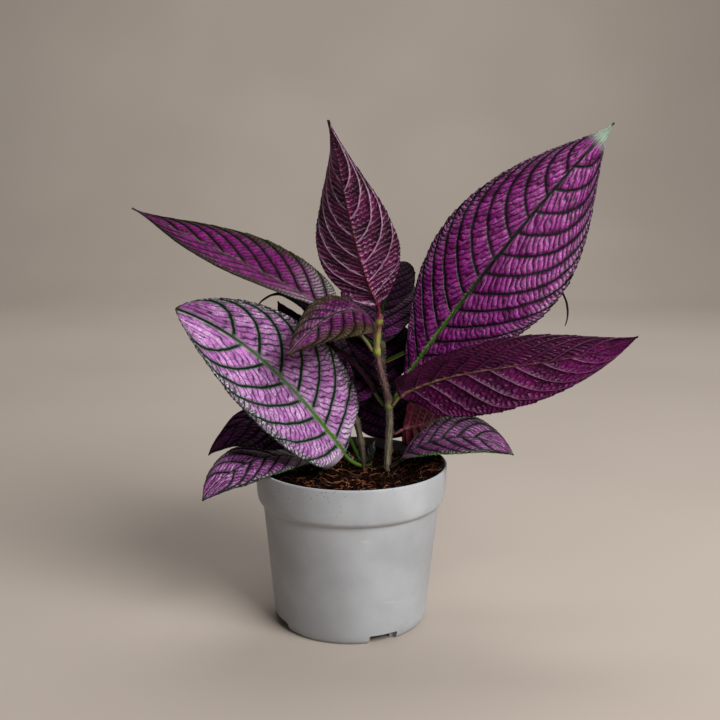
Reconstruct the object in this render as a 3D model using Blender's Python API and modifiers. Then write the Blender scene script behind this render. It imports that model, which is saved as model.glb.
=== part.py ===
"""A young Persian shield plant in its grey nursery pot: pot, soil, four cuttings and their leaves.

The pot stands on the ground with its axis on the Z axis, and the front of the plant faces -Y.
"""

from dataclasses import dataclass
from math import cos, pi, radians, sin

import bmesh
import bpy
import numpy as np
from mathutils import Vector, noise

MM = 0.001

# Pot: a 12 cm nursery pot of thin plastic, with a deep rim band and a foot ring
POT_HEIGHT = 101 * MM
RIM_RADIUS = 60 * MM
BAND_HEIGHT = 24 * MM
BAND_FOOT_RADIUS = 58.2 * MM
BODY_TOP_RADIUS = 55.3 * MM
BODY_FOOT_RADIUS = 48.6 * MM
FOOT_RADIUS = 46 * MM
WALL = 1.3 * MM
FOOT_RING = 3 * MM
CENTRE_DISC_RADIUS = 29 * MM
CHANNEL_HEIGHT = 5 * MM
TURNED_STEPS = 48
NOTCH_WIDTH = 19 * MM
NOTCH_HEIGHT = 5.5 * MM
NOTCH_HEADINGS = (-65, 25, 115, 205)
DRAIN_HOLES = 6
DRAIN_RADIUS = 4 * MM
DRAIN_CIRCLE = 36.5 * MM

# Soil: peat and coir, a little below the rim and heaped over it at the right
SEAT_GAP = 0.3 * MM
SOIL_HEIGHT = 94 * MM
SOIL_RINGS = 8
SOIL_STEPS = 40
CRUMB_SIZE = 9 * MM
CRUMB_HEIGHT = 2.6 * MM
HEAP_CENTRE = (53 * MM, -6 * MM)
HEAP_HEIGHT = 9.5 * MM
HEAP_SPREAD = 18 * MM

# Stems: square-shouldered young shoots, swollen at each leaf joint
STEM_RADIUS = 1.9 * MM
NODE_RADIUS = 2.5 * MM
NODE_HALF_LENGTH = 4 * MM
CLOSEST_RINGS = 1.2 * MM
BURIED_END = 72 * MM
SOIL_CLEARANCE = 98 * MM

# Leaves
BLADE_THICKNESS = 0.75 * MM
MIDRIB_THICKNESS = 2.2 * MM
PETIOLE_THICKNESS = 2.6 * MM
PETIOLE_HALF_WIDTH = 1.3 * MM
NARROWEST = 0.6 * MM
PETIOLE_ROWS = 4
RIB_DEPTH = 0.55 * MM
TOOTH_DEPTH = 0.5 * MM
VEIN_SWEEP = 0.2
PATH_STEPS = 160


@dataclass(frozen=True)
class Stem:
    """A shoot: the points it passes through above the soil, and the heights of its leaf joints."""

    name: str
    path: tuple
    joints: tuple


@dataclass(frozen=True)
class Leaf:
    """A leaf, in millimetres and degrees.

    heading is the way the petiole points in plan, and turn what the midrib adds to it by the tip.
    lifts are the angles above level of the petiole, the blade's base, its middle and its tip.
    rolls turn the blade about its midrib, fold raises both halves, and curl bends them on.
    fullness rounds the base, taper draws out the tip, and lean widens the left half.
    """

    name: str
    stem: str
    height: float
    heading: float
    turn: float
    petiole: float
    lifts: tuple
    length: float
    half_width: float
    rolls: tuple
    fold: float = 6
    curl: float = 0
    fullness: float = 0.75
    taper: float = 1.1
    lean: float = 0
    ribs: int = 8
    columns: int = 4
    material: str = "leaf"


STEMS = (
    Stem("stem_front", ((22.5, 0, 98), (23, 0, 137), (15.5, -0.5, 171), (17, 0, 195)), (137, 171, 190)),
    Stem("stem_back", ((24, 14, 98), (24, 14, 136), (19, 14, 160), (19, 13, 176)),
         (104, 116, 136, 163, 172)),
    Stem("stem_middle", ((8, 4, 98), (6, 8, 112), (2, 12, 128)), (112, 124)),
    Stem("stem_left", ((-20, -7, 98), (-21, -3, 108), (-18, 2, 120)), (106, 118)),
)

LEAVES = (
    Leaf("leaf_front_left", "stem_middle", 97.5, 206, -22, 14, (25, 52, 56, 19), 142, 36, (-60, -78),
         fold=14, curl=5.5, fullness=0.45, taper=0.77, lean=0.03, ribs=9, columns=6),
    Leaf("leaf_right_tall", "stem_back", 136, -2, 16, 14, (80, 56, 52, 45), 209, 43, (38, 94),
         fold=3, curl=-1, fullness=1.1, taper=1.35, lean=-0.08, ribs=14, columns=6),
    Leaf("leaf_top", "stem_front", 195, 238, -22, 6, (72, 48, 84, 70), 117, 27.5, (30, -9),
         fold=13, curl=4, fullness=0.8, taper=1.32, lean=-0.12, ribs=8, columns=6, material="leaf_back"),
    Leaf("leaf_left", "stem_front", 171, 171, -6, 28, (68, 30, 22, 24), 152, 29, (-9, -40),
         fold=18, curl=1, fullness=0.68, taper=1.5, lean=0.11, ribs=11, columns=6),
    Leaf("leaf_right_low", "stem_front", 137, -16, 22, 9, (90, 32, -12, 26), 150, 31, (-45, -90),
         fold=-17, curl=-11, fullness=0.5, taper=1.1, lean=-0.08, ribs=10, columns=6,
         material="leaf_back"),
    Leaf("leaf_young_front", "stem_front", 189, 227, -8, 4, (36, 43, -35, -41), 75, 18.7, (-30, -29),
         fold=-1, curl=-8, fullness=0.56, taper=1.06, lean=0.1, ribs=8),
    Leaf("leaf_rim_left", "stem_left", 101.5, 206, 0, 5, (24, 28, -14, -53), 77, 20, (2, -36),
         fold=-3, curl=-6, fullness=0.63, taper=1, lean=-0.12, ribs=8),
    Leaf("leaf_rim_right", "stem_front", 98.5, -17, 13, 8, (39, 40, 15, -40), 77, 21.7, (11, 28),
         fold=8, curl=-1, fullness=0.84, taper=1.07, lean=0.03, ribs=8),
    Leaf("leaf_shaded_left", "stem_left", 106, 180, 1, 8, (77, 67, -22, -64), 80, 23.3, (-25, -18),
         fold=-1, curl=-8, lean=0.25),
    Leaf("leaf_behind_left", "stem_middle", 99, 153, 1, 24, (67, 59, 55, 59), 92, 22.8, (-34, -33),
         fold=6, curl=-2),
    Leaf("leaf_curled_tip", "stem_back", 172, 161, -8, 16, (41, 17, 68, -57), 80, 15, (-19, -19),
         fold=8, fullness=0.7, taper=2.4),
    Leaf("leaf_crimson", "stem_back", 116, 32, 0, 6, (22, 3, 4, 10), 54, 18.5, (-78, -72),
         fold=13, curl=4, fullness=0.52, material="leaf_back"),
    Leaf("leaf_right_behind", "stem_back", 163, 36, -28, 22, (16, 15, 93, -112), 158, 20, (30, 24),
         fold=9, fullness=0.7, taper=1.75, ribs=10),
    Leaf("leaf_dark_right", "stem_front", 190, 73, 4, 8, (60, 44, 22, 0), 68, 14.5, (12, 0),
         fold=6, curl=-2, fullness=0.72),
    Leaf("leaf_inner", "stem_front", 137, 165, 0, 10, (65, 55, 45, 20), 48, 13, (15, 15), ribs=7),
    Leaf("leaf_inner_left", "stem_back", 136, 101, 0, 12, (65, 50, 30, 5), 95, 23, (10, 0)),
    Leaf("leaf_back_left", "stem_middle", 122, 100, 0, 12, (60, 40, 25, 0), 118, 27, (0, 0), ribs=9),
    Leaf("leaf_back_right", "stem_back", 163, 90, 0, 14, (60, 38, 20, -12), 115, 26, (0, 0), ribs=9),
    Leaf("leaf_back_low", "stem_back", 104, 94, 0, 8, (54, 50, 28, -30), 87, 25, (0, 0), fullness=0.5),
    Leaf("leaf_sprout", "stem_middle", 98, -40, 0, 3, (45, 72, 72, 72), 15, 4.6, (60, 60),
         ribs=4, columns=2),
)


def clear_scene():
    for obj in list(bpy.data.objects):
        bpy.data.objects.remove(obj, do_unlink=True)


def new_collection(name):
    collection = bpy.data.collections.new(name)
    bpy.context.scene.collection.children.link(collection)
    return collection


def material(name, colour, roughness):
    made = bpy.data.materials.new(name)
    made.use_nodes = True
    shader = made.node_tree.nodes["Principled BSDF"]
    shader.inputs["Base Color"].default_value = (*colour, 1)
    shader.inputs["Roughness"].default_value = roughness
    shader.inputs["Metallic"].default_value = 0
    made.diffuse_color = (*colour, 1)
    return made


def object_from(bm, name, collection, finish=None):
    """Ends a bmesh and puts its mesh in the scene, shaded smooth."""
    mesh = bpy.data.meshes.new(name)
    bm.to_mesh(mesh)
    bm.free()
    mesh.shade_smooth()
    made = bpy.data.objects.new(name, mesh)
    collection.objects.link(made)
    if finish:
        mesh.materials.append(finish)
    return made


def cutter_from(bm, name, collection):
    made = object_from(bm, name, collection)
    made.hide_render = True
    made.display_type = "WIRE"
    return made


def cut(obj, cutter):
    boolean = obj.modifiers.new("cut_" + cutter.name, "BOOLEAN")
    boolean.operation = "DIFFERENCE"
    boolean.solver = "EXACT"
    boolean.object = cutter


def turned(name, profile, collection, finish):
    """A solid turned about the Z axis from (radius, height) points that start and end on the axis."""
    bm = bmesh.new()
    points = [bm.verts.new((radius, 0, height)) for radius, height in profile]
    for first, second in zip(points, points[1:]):
        bm.edges.new((first, second))
    made = object_from(bm, name, collection, finish)
    screw = made.modifiers.new("turn", "SCREW")
    screw.steps = TURNED_STEPS
    screw.render_steps = TURNED_STEPS
    screw.use_merge_vertices = True
    screw.merge_threshold = 0.0001
    return made


def inner_radius(height):
    """The pot's inside radius at a height above its floor."""
    band_foot = POT_HEIGHT - BAND_HEIGHT
    if height > band_foot:
        share = (height - band_foot) / BAND_HEIGHT
        return (BODY_TOP_RADIUS + share * (RIM_RADIUS - BODY_TOP_RADIUS)) - WALL
    share = height / band_foot
    return BODY_FOOT_RADIUS + share * (BODY_TOP_RADIUS - BODY_FOOT_RADIUS) - WALL


def pot_profile():
    band_foot = POT_HEIGHT - BAND_HEIGHT
    floor = CHANNEL_HEIGHT + WALL
    inside = [
        (0, WALL),
        (CENTRE_DISC_RADIUS, WALL),
        (CENTRE_DISC_RADIUS + 2 * MM, floor),
        (inner_radius(floor), floor),
        (inner_radius(band_foot), band_foot),
        (RIM_RADIUS - WALL, POT_HEIGHT),
    ]
    outside = [
        (RIM_RADIUS - 0.3 * MM, POT_HEIGHT),
        (RIM_RADIUS, POT_HEIGHT - 0.5 * MM),
        (BAND_FOOT_RADIUS + 0.8 * MM, band_foot + 6 * MM),
        (BAND_FOOT_RADIUS, band_foot + 2.6 * MM),
        (BODY_TOP_RADIUS + 0.8 * MM, band_foot + 0.2 * MM),
        (BODY_TOP_RADIUS, band_foot - 0.6 * MM),
        (BODY_FOOT_RADIUS, 6 * MM),
        (FOOT_RADIUS + 1.4 * MM, 2 * MM),
        (FOOT_RADIUS, 0),
    ]
    underside = [
        (FOOT_RADIUS - FOOT_RING, 0),
        (FOOT_RADIUS - FOOT_RING, CHANNEL_HEIGHT),
        (CENTRE_DISC_RADIUS + 2 * MM, CHANNEL_HEIGHT),
        (CENTRE_DISC_RADIUS, 0),
        (0, 0),
    ]
    return inside + outside + underside


def notch_cutter(heading, collection):
    """A block that cuts one notch through the foot ring and stops short of the floor."""
    bm = bmesh.new()
    bmesh.ops.create_cube(bm, size=1)
    depth = 3 * FOOT_RING
    bmesh.ops.scale(bm, verts=bm.verts, vec=(depth, NOTCH_WIDTH, 2 * NOTCH_HEIGHT))
    bmesh.ops.translate(bm, verts=bm.verts, vec=(FOOT_RADIUS - FOOT_RING / 2 + 0.5 * depth - 2 * MM, 0, 0))
    made = cutter_from(bm, f"notch_{heading % 360}", collection)
    made.rotation_euler.z = radians(heading)
    return made


def round_cutter(name, centre, radius, low, high, sides, collection):
    bm = bmesh.new()
    bmesh.ops.create_cone(
        bm, cap_ends=True, segments=sides, radius1=radius, radius2=radius, depth=high - low
    )
    made = cutter_from(bm, name, collection)
    made.location = (centre[0], centre[1], (low + high) / 2)
    return made


def make_pot(collection, cutters):
    pot = turned("pot", pot_profile(), collection, material("grey_plastic", (0.36, 0.35, 0.345), 0.5))
    for heading in NOTCH_HEADINGS:
        cut(pot, notch_cutter(heading, cutters))
    for index in range(DRAIN_HOLES):
        turn = 2 * pi * (index + 0.3) / DRAIN_HOLES
        centre = (DRAIN_CIRCLE * cos(turn), DRAIN_CIRCLE * sin(turn))
        hole = round_cutter(
            f"drain_{index}", centre, DRAIN_RADIUS, 2 * MM, 2 * CHANNEL_HEIGHT, 10, cutters
        )
        cut(pot, hole)


def soil_height(x, y):
    """The soil's surface: nearly level, crumbly, and heaped at the right."""
    offset = Vector((x - HEAP_CENTRE[0], y - HEAP_CENTRE[1]))
    heap = HEAP_HEIGHT * 2.718 ** (-((offset.length / HEAP_SPREAD) ** 2))
    crumb = CRUMB_HEIGHT * noise.noise(Vector((x, y, 0)) / CRUMB_SIZE)
    return SOIL_HEIGHT + heap + crumb * (0.4 + 0.6 * min(1, Vector((x, y)).length / (30 * MM)))


def make_soil(collection, cutters):
    """A plug that fills the pot, spun from a profile, with its top raised into crumbs."""
    floor = CHANNEL_HEIGHT + WALL + SEAT_GAP
    shoulder = inner_radius(SOIL_HEIGHT - CRUMB_HEIGHT) - SEAT_GAP
    profile = [(shoulder * index / SOIL_RINGS, SOIL_HEIGHT) for index in range(SOIL_RINGS + 1)]
    profile += [
        (inner_radius(POT_HEIGHT - BAND_HEIGHT) - SEAT_GAP, POT_HEIGHT - BAND_HEIGHT),
        (inner_radius(floor) - 2 * SEAT_GAP, floor),
        (CENTRE_DISC_RADIUS + 2 * MM - SEAT_GAP, floor),
        (CENTRE_DISC_RADIUS - SEAT_GAP, WALL + SEAT_GAP),
        (0, WALL + SEAT_GAP),
    ]
    bm = bmesh.new()
    points = [bm.verts.new((radius, 0, height)) for radius, height in profile]
    edges = [bm.edges.new(pair) for pair in zip(points, points[1:])]
    bmesh.ops.spin(
        bm, geom=points + edges, cent=(0, 0, 0), axis=(0, 0, 1), angle=2 * pi, steps=SOIL_STEPS,
        use_merge=True,
    )
    bmesh.ops.remove_doubles(bm, verts=bm.verts, dist=0.00001)
    for vert in bm.verts:
        if vert.co.z > SOIL_HEIGHT - 1 * MM:
            vert.co.z = soil_height(vert.co.x, vert.co.y)
    bmesh.ops.triangulate(bm, faces=bm.faces)
    bmesh.ops.recalc_face_normals(bm, faces=bm.faces)
    soil = object_from(bm, "soil", collection, material("soil", (0.045, 0.02, 0.01), 0.95))
    for stem in STEMS:
        x, y = stem.path[0][0] * MM, stem.path[0][1] * MM
        hole = round_cutter(
            "hole_" + stem.name, (x, y), STEM_RADIUS + 2 * SEAT_GAP, BURIED_END - SEAT_GAP,
            POT_HEIGHT + 20 * MM, 10, cutters,
        )
        cut(soil, hole)


def stem_points(stem):
    """The shoot's path in metres: straight up out of its hole, then a smooth curve."""
    path = np.array(stem.path, float) * MM
    buried = np.array([path[0][0], path[0][1], BURIED_END])
    heights = [SOIL_CLEARANCE, path[-1][2]]
    around_joint = (0, -NODE_HALF_LENGTH, NODE_HALF_LENGTH)
    swellings = [joint * MM + step for joint in stem.joints for step in around_joint]
    for wanted in swellings + list(np.linspace(heights[0], heights[1], 9)):
        apart = min(abs(wanted - height) for height in heights)
        if apart > CLOSEST_RINGS and wanted < heights[1]:
            heights.append(wanted)
    return [buried] + [stem_at(stem, height) for height in sorted(heights)]


def stem_at(stem, height):
    """The point of a shoot at a height, on a cubic through its path that leaves the soil upright."""
    path = np.array(stem.path, float) * MM
    z = path[:, 2]
    height = min(max(height, z[0]), z[-1])
    slopes = np.gradient(path[:, :2], z, axis=0)
    slopes[0] = 0
    index = min(int(np.searchsorted(z, height, side="right")) - 1, len(z) - 2)
    span = z[index + 1] - z[index]
    t = (height - z[index]) / span
    plan = (
        (2 * t**3 - 3 * t**2 + 1) * path[index, :2]
        + (t**3 - 2 * t**2 + t) * span * slopes[index]
        + (3 * t**2 - 2 * t**3) * path[index + 1, :2]
        + (t**3 - t**2) * span * slopes[index + 1]
    )
    return np.array([plan[0], plan[1], height])


def make_stem(stem, collection, finish):
    points = stem_points(stem)
    curve = bpy.data.curves.new(stem.name, "CURVE")
    curve.dimensions = "3D"
    curve.bevel_depth = STEM_RADIUS
    curve.bevel_resolution = 2
    curve.use_fill_caps = True
    spline = curve.splines.new("POLY")
    spline.points.add(len(points) - 1)
    for place, point in zip(spline.points, points):
        place.co = (*point, 1)
        near = min((abs(point[2] - joint * MM) for joint in stem.joints), default=1)
        swell = max(0, 1 - near / NODE_HALF_LENGTH)
        place.radius = 1 + swell * (NODE_RADIUS / STEM_RADIUS - 1)
    made = bpy.data.objects.new(stem.name, curve)
    collection.objects.link(made)
    curve.materials.append(finish)


def leaf_root(leaf):
    """Where the petiole meets its shoot, a hair clear of the bark."""
    stem = next(stem for stem in STEMS if stem.name == leaf.stem)
    axis = stem_at(stem, leaf.height * MM)
    if leaf.height >= stem.path[-1][2]:
        return axis + np.array([0, 0, SEAT_GAP + 0.3 * PETIOLE_THICKNESS])
    near = min(abs(leaf.height - joint) * MM for joint in stem.joints)
    swell = max(0, 1 - near / NODE_HALF_LENGTH)
    reach = STEM_RADIUS + swell * (NODE_RADIUS - STEM_RADIUS) + SEAT_GAP
    return axis + reach * np.array([cos(radians(leaf.heading)), sin(radians(leaf.heading)), 0])


def midrib(leaf):
    """Distances along the petiole and midrib, with the points, side directions and upward normals."""
    petiole = leaf.petiole * MM
    length = leaf.length * MM
    along = np.linspace(0, petiole + length, PATH_STEPS + 1)
    in_blade = np.clip((along - petiole) / length, 0, 1)
    in_petiole = np.clip(along / petiole, 0, 1)
    root, base, middle, tip = leaf.lifts
    lift = base * (1 - in_blade) ** 2 + 2 * middle * in_blade * (1 - in_blade) + tip * in_blade**2
    lift = np.radians(lift + (root - base) * (1 - in_petiole))
    heading = np.radians(leaf.heading + leaf.turn * in_blade)
    ahead = np.stack(
        [np.cos(lift) * np.cos(heading), np.cos(lift) * np.sin(heading), np.sin(lift)], -1
    )
    step = along[1]
    points = np.zeros_like(ahead)
    points[1:] = np.cumsum((ahead[1:] + ahead[:-1]) / 2 * step, axis=0)
    side = np.stack([-np.sin(heading), np.cos(heading), np.zeros_like(heading)], -1)
    roll = np.radians(leaf.rolls[0] + (leaf.rolls[1] - leaf.rolls[0]) * in_blade)[:, None]
    roll = roll * in_petiole[:, None]
    above = np.cross(ahead, side)
    return (
        along,
        points + leaf_root(leaf),
        side * np.cos(roll) + above * np.sin(roll),
        above * np.cos(roll) - side * np.sin(roll),
    )


def outline(leaf, u):
    """The blade's half width at u, from 0 at its base to 1 at its tip, as a share of the widest."""
    widest = leaf.fullness / (leaf.fullness + leaf.taper)
    return (u / widest) ** leaf.fullness * ((1 - u) / (1 - widest)) ** leaf.taper


def leaf_vertex(leaf, path, row, v):
    """Moves a grid point to its place on the leaf, and says how thick the leaf is there.

    Rows follow the side veins, which leave the midrib and sweep forwards to the margin.
    Every second blade row is a sunken vein, and the rows between are the crests of the quilting.
    """
    along, points, sides, aboves = path
    petiole = leaf.petiole * MM
    if row <= PETIOLE_ROWS:
        distance = petiole * row / PETIOLE_ROWS
        across = PETIOLE_HALF_WIDTH * v
        rise = 0
        thick = PETIOLE_THICKNESS
    else:
        step = (row - PETIOLE_ROWS) / (2 * leaf.ribs)
        share = step * (0.6 + 0.4 * step)
        reach = abs(v)
        u = share + VEIN_SWEEP * sin(pi * share) * (0.3 * reach + 0.7 * reach**2)
        distance = petiole + u * leaf.length * MM
        crest = -cos(pi * (row - PETIOLE_ROWS))
        fade = min(1, 4 * share * (1 - share) * 1.6)
        half = leaf.half_width * MM * outline(leaf, u) * (1 + leaf.lean * np.sign(v))
        if reach == 1:
            half -= TOOTH_DEPTH * crest * fade
        half += PETIOLE_HALF_WIDTH * (1 - share) * (1 - 0.7 * share)
        if share < 1:
            half = max(half, NARROWEST)
        bend = radians(leaf.fold) + radians(leaf.curl) * reach / 2
        across = half * v * cos(bend)
        quilt = RIB_DEPTH * crest * (1 - (2 * reach - 1) ** 2) * fade
        rise = half * reach * sin(bend) + quilt
        thick = BLADE_THICKNESS
        if reach == 0:
            thick += (MIDRIB_THICKNESS - BLADE_THICKNESS) * (1 - share) ** 0.7
    place = [np.interp(distance, along, axis) for axis in points.T]
    side = np.array([np.interp(distance, along, axis) for axis in sides.T])
    above = np.array([np.interp(distance, along, axis) for axis in aboves.T])
    return np.array(place) + side * across + above * rise, thick


def make_leaf(leaf, collection, finishes):
    """A grid laid along the leaf, split into triangles, then thickened downwards."""
    rows = PETIOLE_ROWS + 2 * leaf.ribs
    bm = bmesh.new()
    bmesh.ops.create_grid(bm, x_segments=leaf.columns, y_segments=rows, size=1)
    weight = bm.verts.layers.deform.verify()
    path = midrib(leaf)
    for vert in bm.verts:
        v = -round(vert.co.x, 4)
        row = round((vert.co.y + 1) / 2 * rows)
        place, thick = leaf_vertex(leaf, path, row, v)
        vert.co = place
        vert[weight][0] = thick / PETIOLE_THICKNESS
    bmesh.ops.remove_doubles(bm, verts=bm.verts, dist=0.0001)
    bmesh.ops.triangulate(bm, faces=bm.faces)
    made = object_from(bm, leaf.name, collection, finishes[leaf.material])
    made.vertex_groups.new(name="thickness")
    shell = made.modifiers.new("thickness", "SOLIDIFY")
    shell.thickness = PETIOLE_THICKNESS
    shell.offset = -1
    shell.vertex_group = "thickness"


def main():
    clear_scene()
    plant = new_collection("potted_persian_shield")
    cutters = new_collection("cutters")
    make_pot(plant, cutters)
    make_soil(plant, cutters)
    bark = material("stem_bark", (0.17, 0.13, 0.06), 0.6)
    for stem in STEMS:
        make_stem(stem, plant, bark)
    finishes = {
        "leaf": material("leaf_purple", (0.32, 0.06, 0.28), 0.45),
        "leaf_back": material("leaf_maroon", (0.12, 0.01, 0.06), 0.5),
    }
    for leaf in LEAVES:
        make_leaf(leaf, plant, finishes)


main()
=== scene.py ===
"""Looks of a young Persian shield plant in its grey nursery pot.

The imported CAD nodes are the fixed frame, and each piece here stands where its node stands.
The pieces follow the same paths and outlines as the solids, far more finely: puffed panels
between sunken veins, toothed margins, ribs that stand out on the undersides, swollen stem
joints with their hairs, and soil with crumbs and fibres.

Lengths in the tables are millimetres, angles are degrees, and the scene itself is in metres.
"""

import logging
from dataclasses import dataclass, field
from enum import Enum
from math import cos, pi, radians, sin
from random import Random
from typing import Iterable, Optional, Sequence, Union

import bmesh
import bpy
import numpy as np
from mathutils import Euler, Matrix, Vector, noise

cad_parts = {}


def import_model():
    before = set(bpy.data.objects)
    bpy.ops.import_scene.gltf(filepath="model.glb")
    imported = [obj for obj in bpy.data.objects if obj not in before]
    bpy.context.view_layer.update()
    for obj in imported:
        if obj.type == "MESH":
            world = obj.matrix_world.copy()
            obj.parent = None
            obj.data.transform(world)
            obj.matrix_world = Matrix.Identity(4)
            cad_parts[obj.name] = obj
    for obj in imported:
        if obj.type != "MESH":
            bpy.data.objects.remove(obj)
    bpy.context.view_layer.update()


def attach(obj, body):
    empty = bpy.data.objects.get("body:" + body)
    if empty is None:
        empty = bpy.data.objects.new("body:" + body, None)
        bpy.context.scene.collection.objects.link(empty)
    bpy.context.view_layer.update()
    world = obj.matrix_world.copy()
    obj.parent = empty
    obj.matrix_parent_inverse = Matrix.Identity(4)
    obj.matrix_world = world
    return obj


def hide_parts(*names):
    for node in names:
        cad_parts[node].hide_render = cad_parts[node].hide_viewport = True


log = logging.getLogger("persian_shield")

MM = 0.001

Colour = tuple[float, float, float]
Socket = bpy.types.NodeSocket
Value = Union[float, Socket]
Tint = Union[Colour, Socket]


def paint(red: int, green: int, blue: int) -> Colour:
    """Turns a display colour of 0 to 255 into the linear colour that shaders use."""
    shares = [channel / 255 for channel in (red, green, blue)]
    return tuple(s / 12.92 if s <= 0.04045 else ((s + 0.055) / 1.055) ** 2.4 for s in shares)


def smooth(share: np.ndarray) -> np.ndarray:
    """An eased step from 0 to 1 as its input goes from 0 to 1."""
    share = np.clip(share, 0, 1)
    return share * share * (3 - 2 * share)


def ping(values: np.ndarray) -> np.ndarray:
    """Distance to the nearest whole number."""
    return np.abs(values - np.round(values))


class NodeDesk:
    """Lays out the shader nodes of one material."""

    def __init__(self, name: str) -> None:
        """Starts a material with an empty Principled shader.

        Args:
            name: The material's name.
        """
        self.material = bpy.data.materials.new(name)
        self.material.use_nodes = True
        self.tree = self.material.node_tree
        self.shader = self.tree.nodes["Principled BSDF"]
        self.object_place = self.tree.nodes.new("ShaderNodeTexCoord").outputs["Object"]

    def feed(self, socket: Socket, value: Union[Value, Tint]) -> None:
        """Links a socket to another, or writes a plain value on it.

        Args:
            socket: The input to fill.
            value: An output socket, a number, or a colour of three shares.
        """
        if isinstance(value, bpy.types.NodeSocket):
            self.tree.links.new(value, socket)
        elif isinstance(value, tuple) and len(value) == 3 and socket.type == "RGBA":
            socket.default_value = (*value, 1)
        else:
            socket.default_value = value

    def attribute(self, name: str) -> tuple[Socket, Socket, Socket]:
        """The three numbers that a piece stores on its points under a name."""
        reader = self.tree.nodes.new("ShaderNodeAttribute")
        reader.attribute_name = name
        split = self.tree.nodes.new("ShaderNodeSeparateXYZ")
        self.tree.links.new(reader.outputs["Vector"], split.inputs[0])
        return split.outputs[0], split.outputs[1], split.outputs[2]

    def split(self, vector: Socket) -> tuple[Socket, Socket, Socket]:
        """The x, y and z of a vector."""
        parts = self.tree.nodes.new("ShaderNodeSeparateXYZ")
        self.tree.links.new(vector, parts.inputs[0])
        return parts.outputs[0], parts.outputs[1], parts.outputs[2]

    def math(self, operation: str, *values: Value) -> Socket:
        """A Math node.

        Args:
            operation: The node's operation, such as MULTIPLY.
            values: Its inputs, in order.

        Returns:
            The node's output.
        """
        made = self.tree.nodes.new("ShaderNodeMath")
        made.operation = operation
        for socket, value in zip(made.inputs, values):
            self.feed(socket, value)
        return made.outputs[0]

    def band(self, value: Value, zero_at: float, one_at: float) -> Socket:
        """An eased step.

        Args:
            value: The number to read.
            zero_at: Where the result is 0.
            one_at: Where the result is 1, on either side of zero_at.

        Returns:
            A number from 0 to 1.
        """
        made = self.tree.nodes.new("ShaderNodeMapRange")
        made.interpolation_type = "SMOOTHSTEP"
        self.feed(made.inputs["Value"], value)
        if zero_at < one_at:
            ends = (zero_at, one_at, 0.0, 1.0)
        else:
            ends = (one_at, zero_at, 1.0, 0.0)
        for name, end in zip(("From Min", "From Max", "To Min", "To Max"), ends):
            made.inputs[name].default_value = end
        return made.outputs[0]

    def mix(self, share: Value, first: Tint, second: Tint, blend: str = "MIX") -> Socket:
        """Mixes two colours.

        Args:
            share: How much of the second colour is taken.
            first: The colour below.
            second: The colour above.
            blend: The node's way of blending.

        Returns:
            The mixed colour.
        """
        made = self.tree.nodes.new("ShaderNodeMix")
        made.data_type = "RGBA"
        made.blend_type = blend
        made.clamp_factor = True
        self.feed(made.inputs[0], share)
        self.feed(made.inputs[6], first)
        self.feed(made.inputs[7], second)
        return made.outputs[2]

    def noise(self, per_metre: float, detail: float = 3, roughness: float = 0.55,
              place: Optional[Socket] = None) -> Socket:
        """Soft noise about 0.5 over the piece.

        Args:
            per_metre: How many grains fit in a metre.
            detail: How many finer octaves are added.
            roughness: How strong those are.
            place: The coordinate to read, or the object's own.

        Returns:
            A number from 0 to 1.
        """
        made = self.tree.nodes.new("ShaderNodeTexNoise")
        made.inputs["Scale"].default_value = per_metre
        made.inputs["Detail"].default_value = detail
        made.inputs["Roughness"].default_value = roughness
        self.tree.links.new(place or self.object_place, made.inputs["Vector"])
        return made.outputs[0]

    def cells(self, per_metre: float, feature: str = "DISTANCE_TO_EDGE", place: Optional[Socket] = None,
              randomness: float = 1) -> Socket:
        """A cell pattern.

        Args:
            per_metre: How many cells fit in a metre.
            feature: What the pattern gives, such as the distance to the nearest wall.
            place: The coordinate to read, or the object's own.
            randomness: How uneven the cells are.

        Returns:
            The pattern's distance.
        """
        made = self.tree.nodes.new("ShaderNodeTexVoronoi")
        made.feature = feature
        made.inputs["Scale"].default_value = per_metre
        made.inputs["Randomness"].default_value = randomness
        self.tree.links.new(place or self.object_place, made.inputs["Vector"])
        return made.outputs["Distance"]

    def vector(self, *values: Value) -> Socket:
        """A vector made of up to three numbers."""
        made = self.tree.nodes.new("ShaderNodeCombineXYZ")
        for socket, value in zip(made.inputs, values):
            self.feed(socket, value)
        return made.outputs[0]

    def flat_cells(self, place: Socket, jitter: float) -> tuple[Socket, Socket]:
        """A flat cell pattern with about one cell for each square unit.

        Args:
            place: The coordinate to read.
            jitter: How uneven the cells are.

        Returns:
            The distance to the nearest wall, and a random number for each cell.
        """
        found = []
        for feature, output in (("DISTANCE_TO_EDGE", "Distance"), ("F1", "Color")):
            made = self.tree.nodes.new("ShaderNodeTexVoronoi")
            made.voronoi_dimensions = "2D"
            made.feature = feature
            made.inputs["Scale"].default_value = 1
            made.inputs["Randomness"].default_value = jitter
            self.tree.links.new(place, made.inputs["Vector"])
            found.append(made.outputs[output])
        return found[0], self.split(found[1])[0]

    def stretched(self, scale: Sequence[float]) -> Socket:
        """The object's own coordinates, scaled by a factor along each axis."""
        made = self.tree.nodes.new("ShaderNodeMapping")
        made.inputs["Scale"].default_value = scale
        self.tree.links.new(self.object_place, made.inputs["Vector"])
        return made.outputs[0]

    def bump(self, height: Socket, depth: float, strength: float = 1) -> None:
        """Raises the surface by a height from 0 to 1.

        Args:
            height: The height's pattern.
            depth: How many metres one unit of it stands out.
            strength: How much of it is felt.
        """
        made = self.tree.nodes.new("ShaderNodeBump")
        made.inputs["Strength"].default_value = strength
        made.inputs["Distance"].default_value = depth
        self.tree.links.new(height, made.inputs["Height"])
        self.tree.links.new(made.outputs[0], self.shader.inputs["Normal"])

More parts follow.
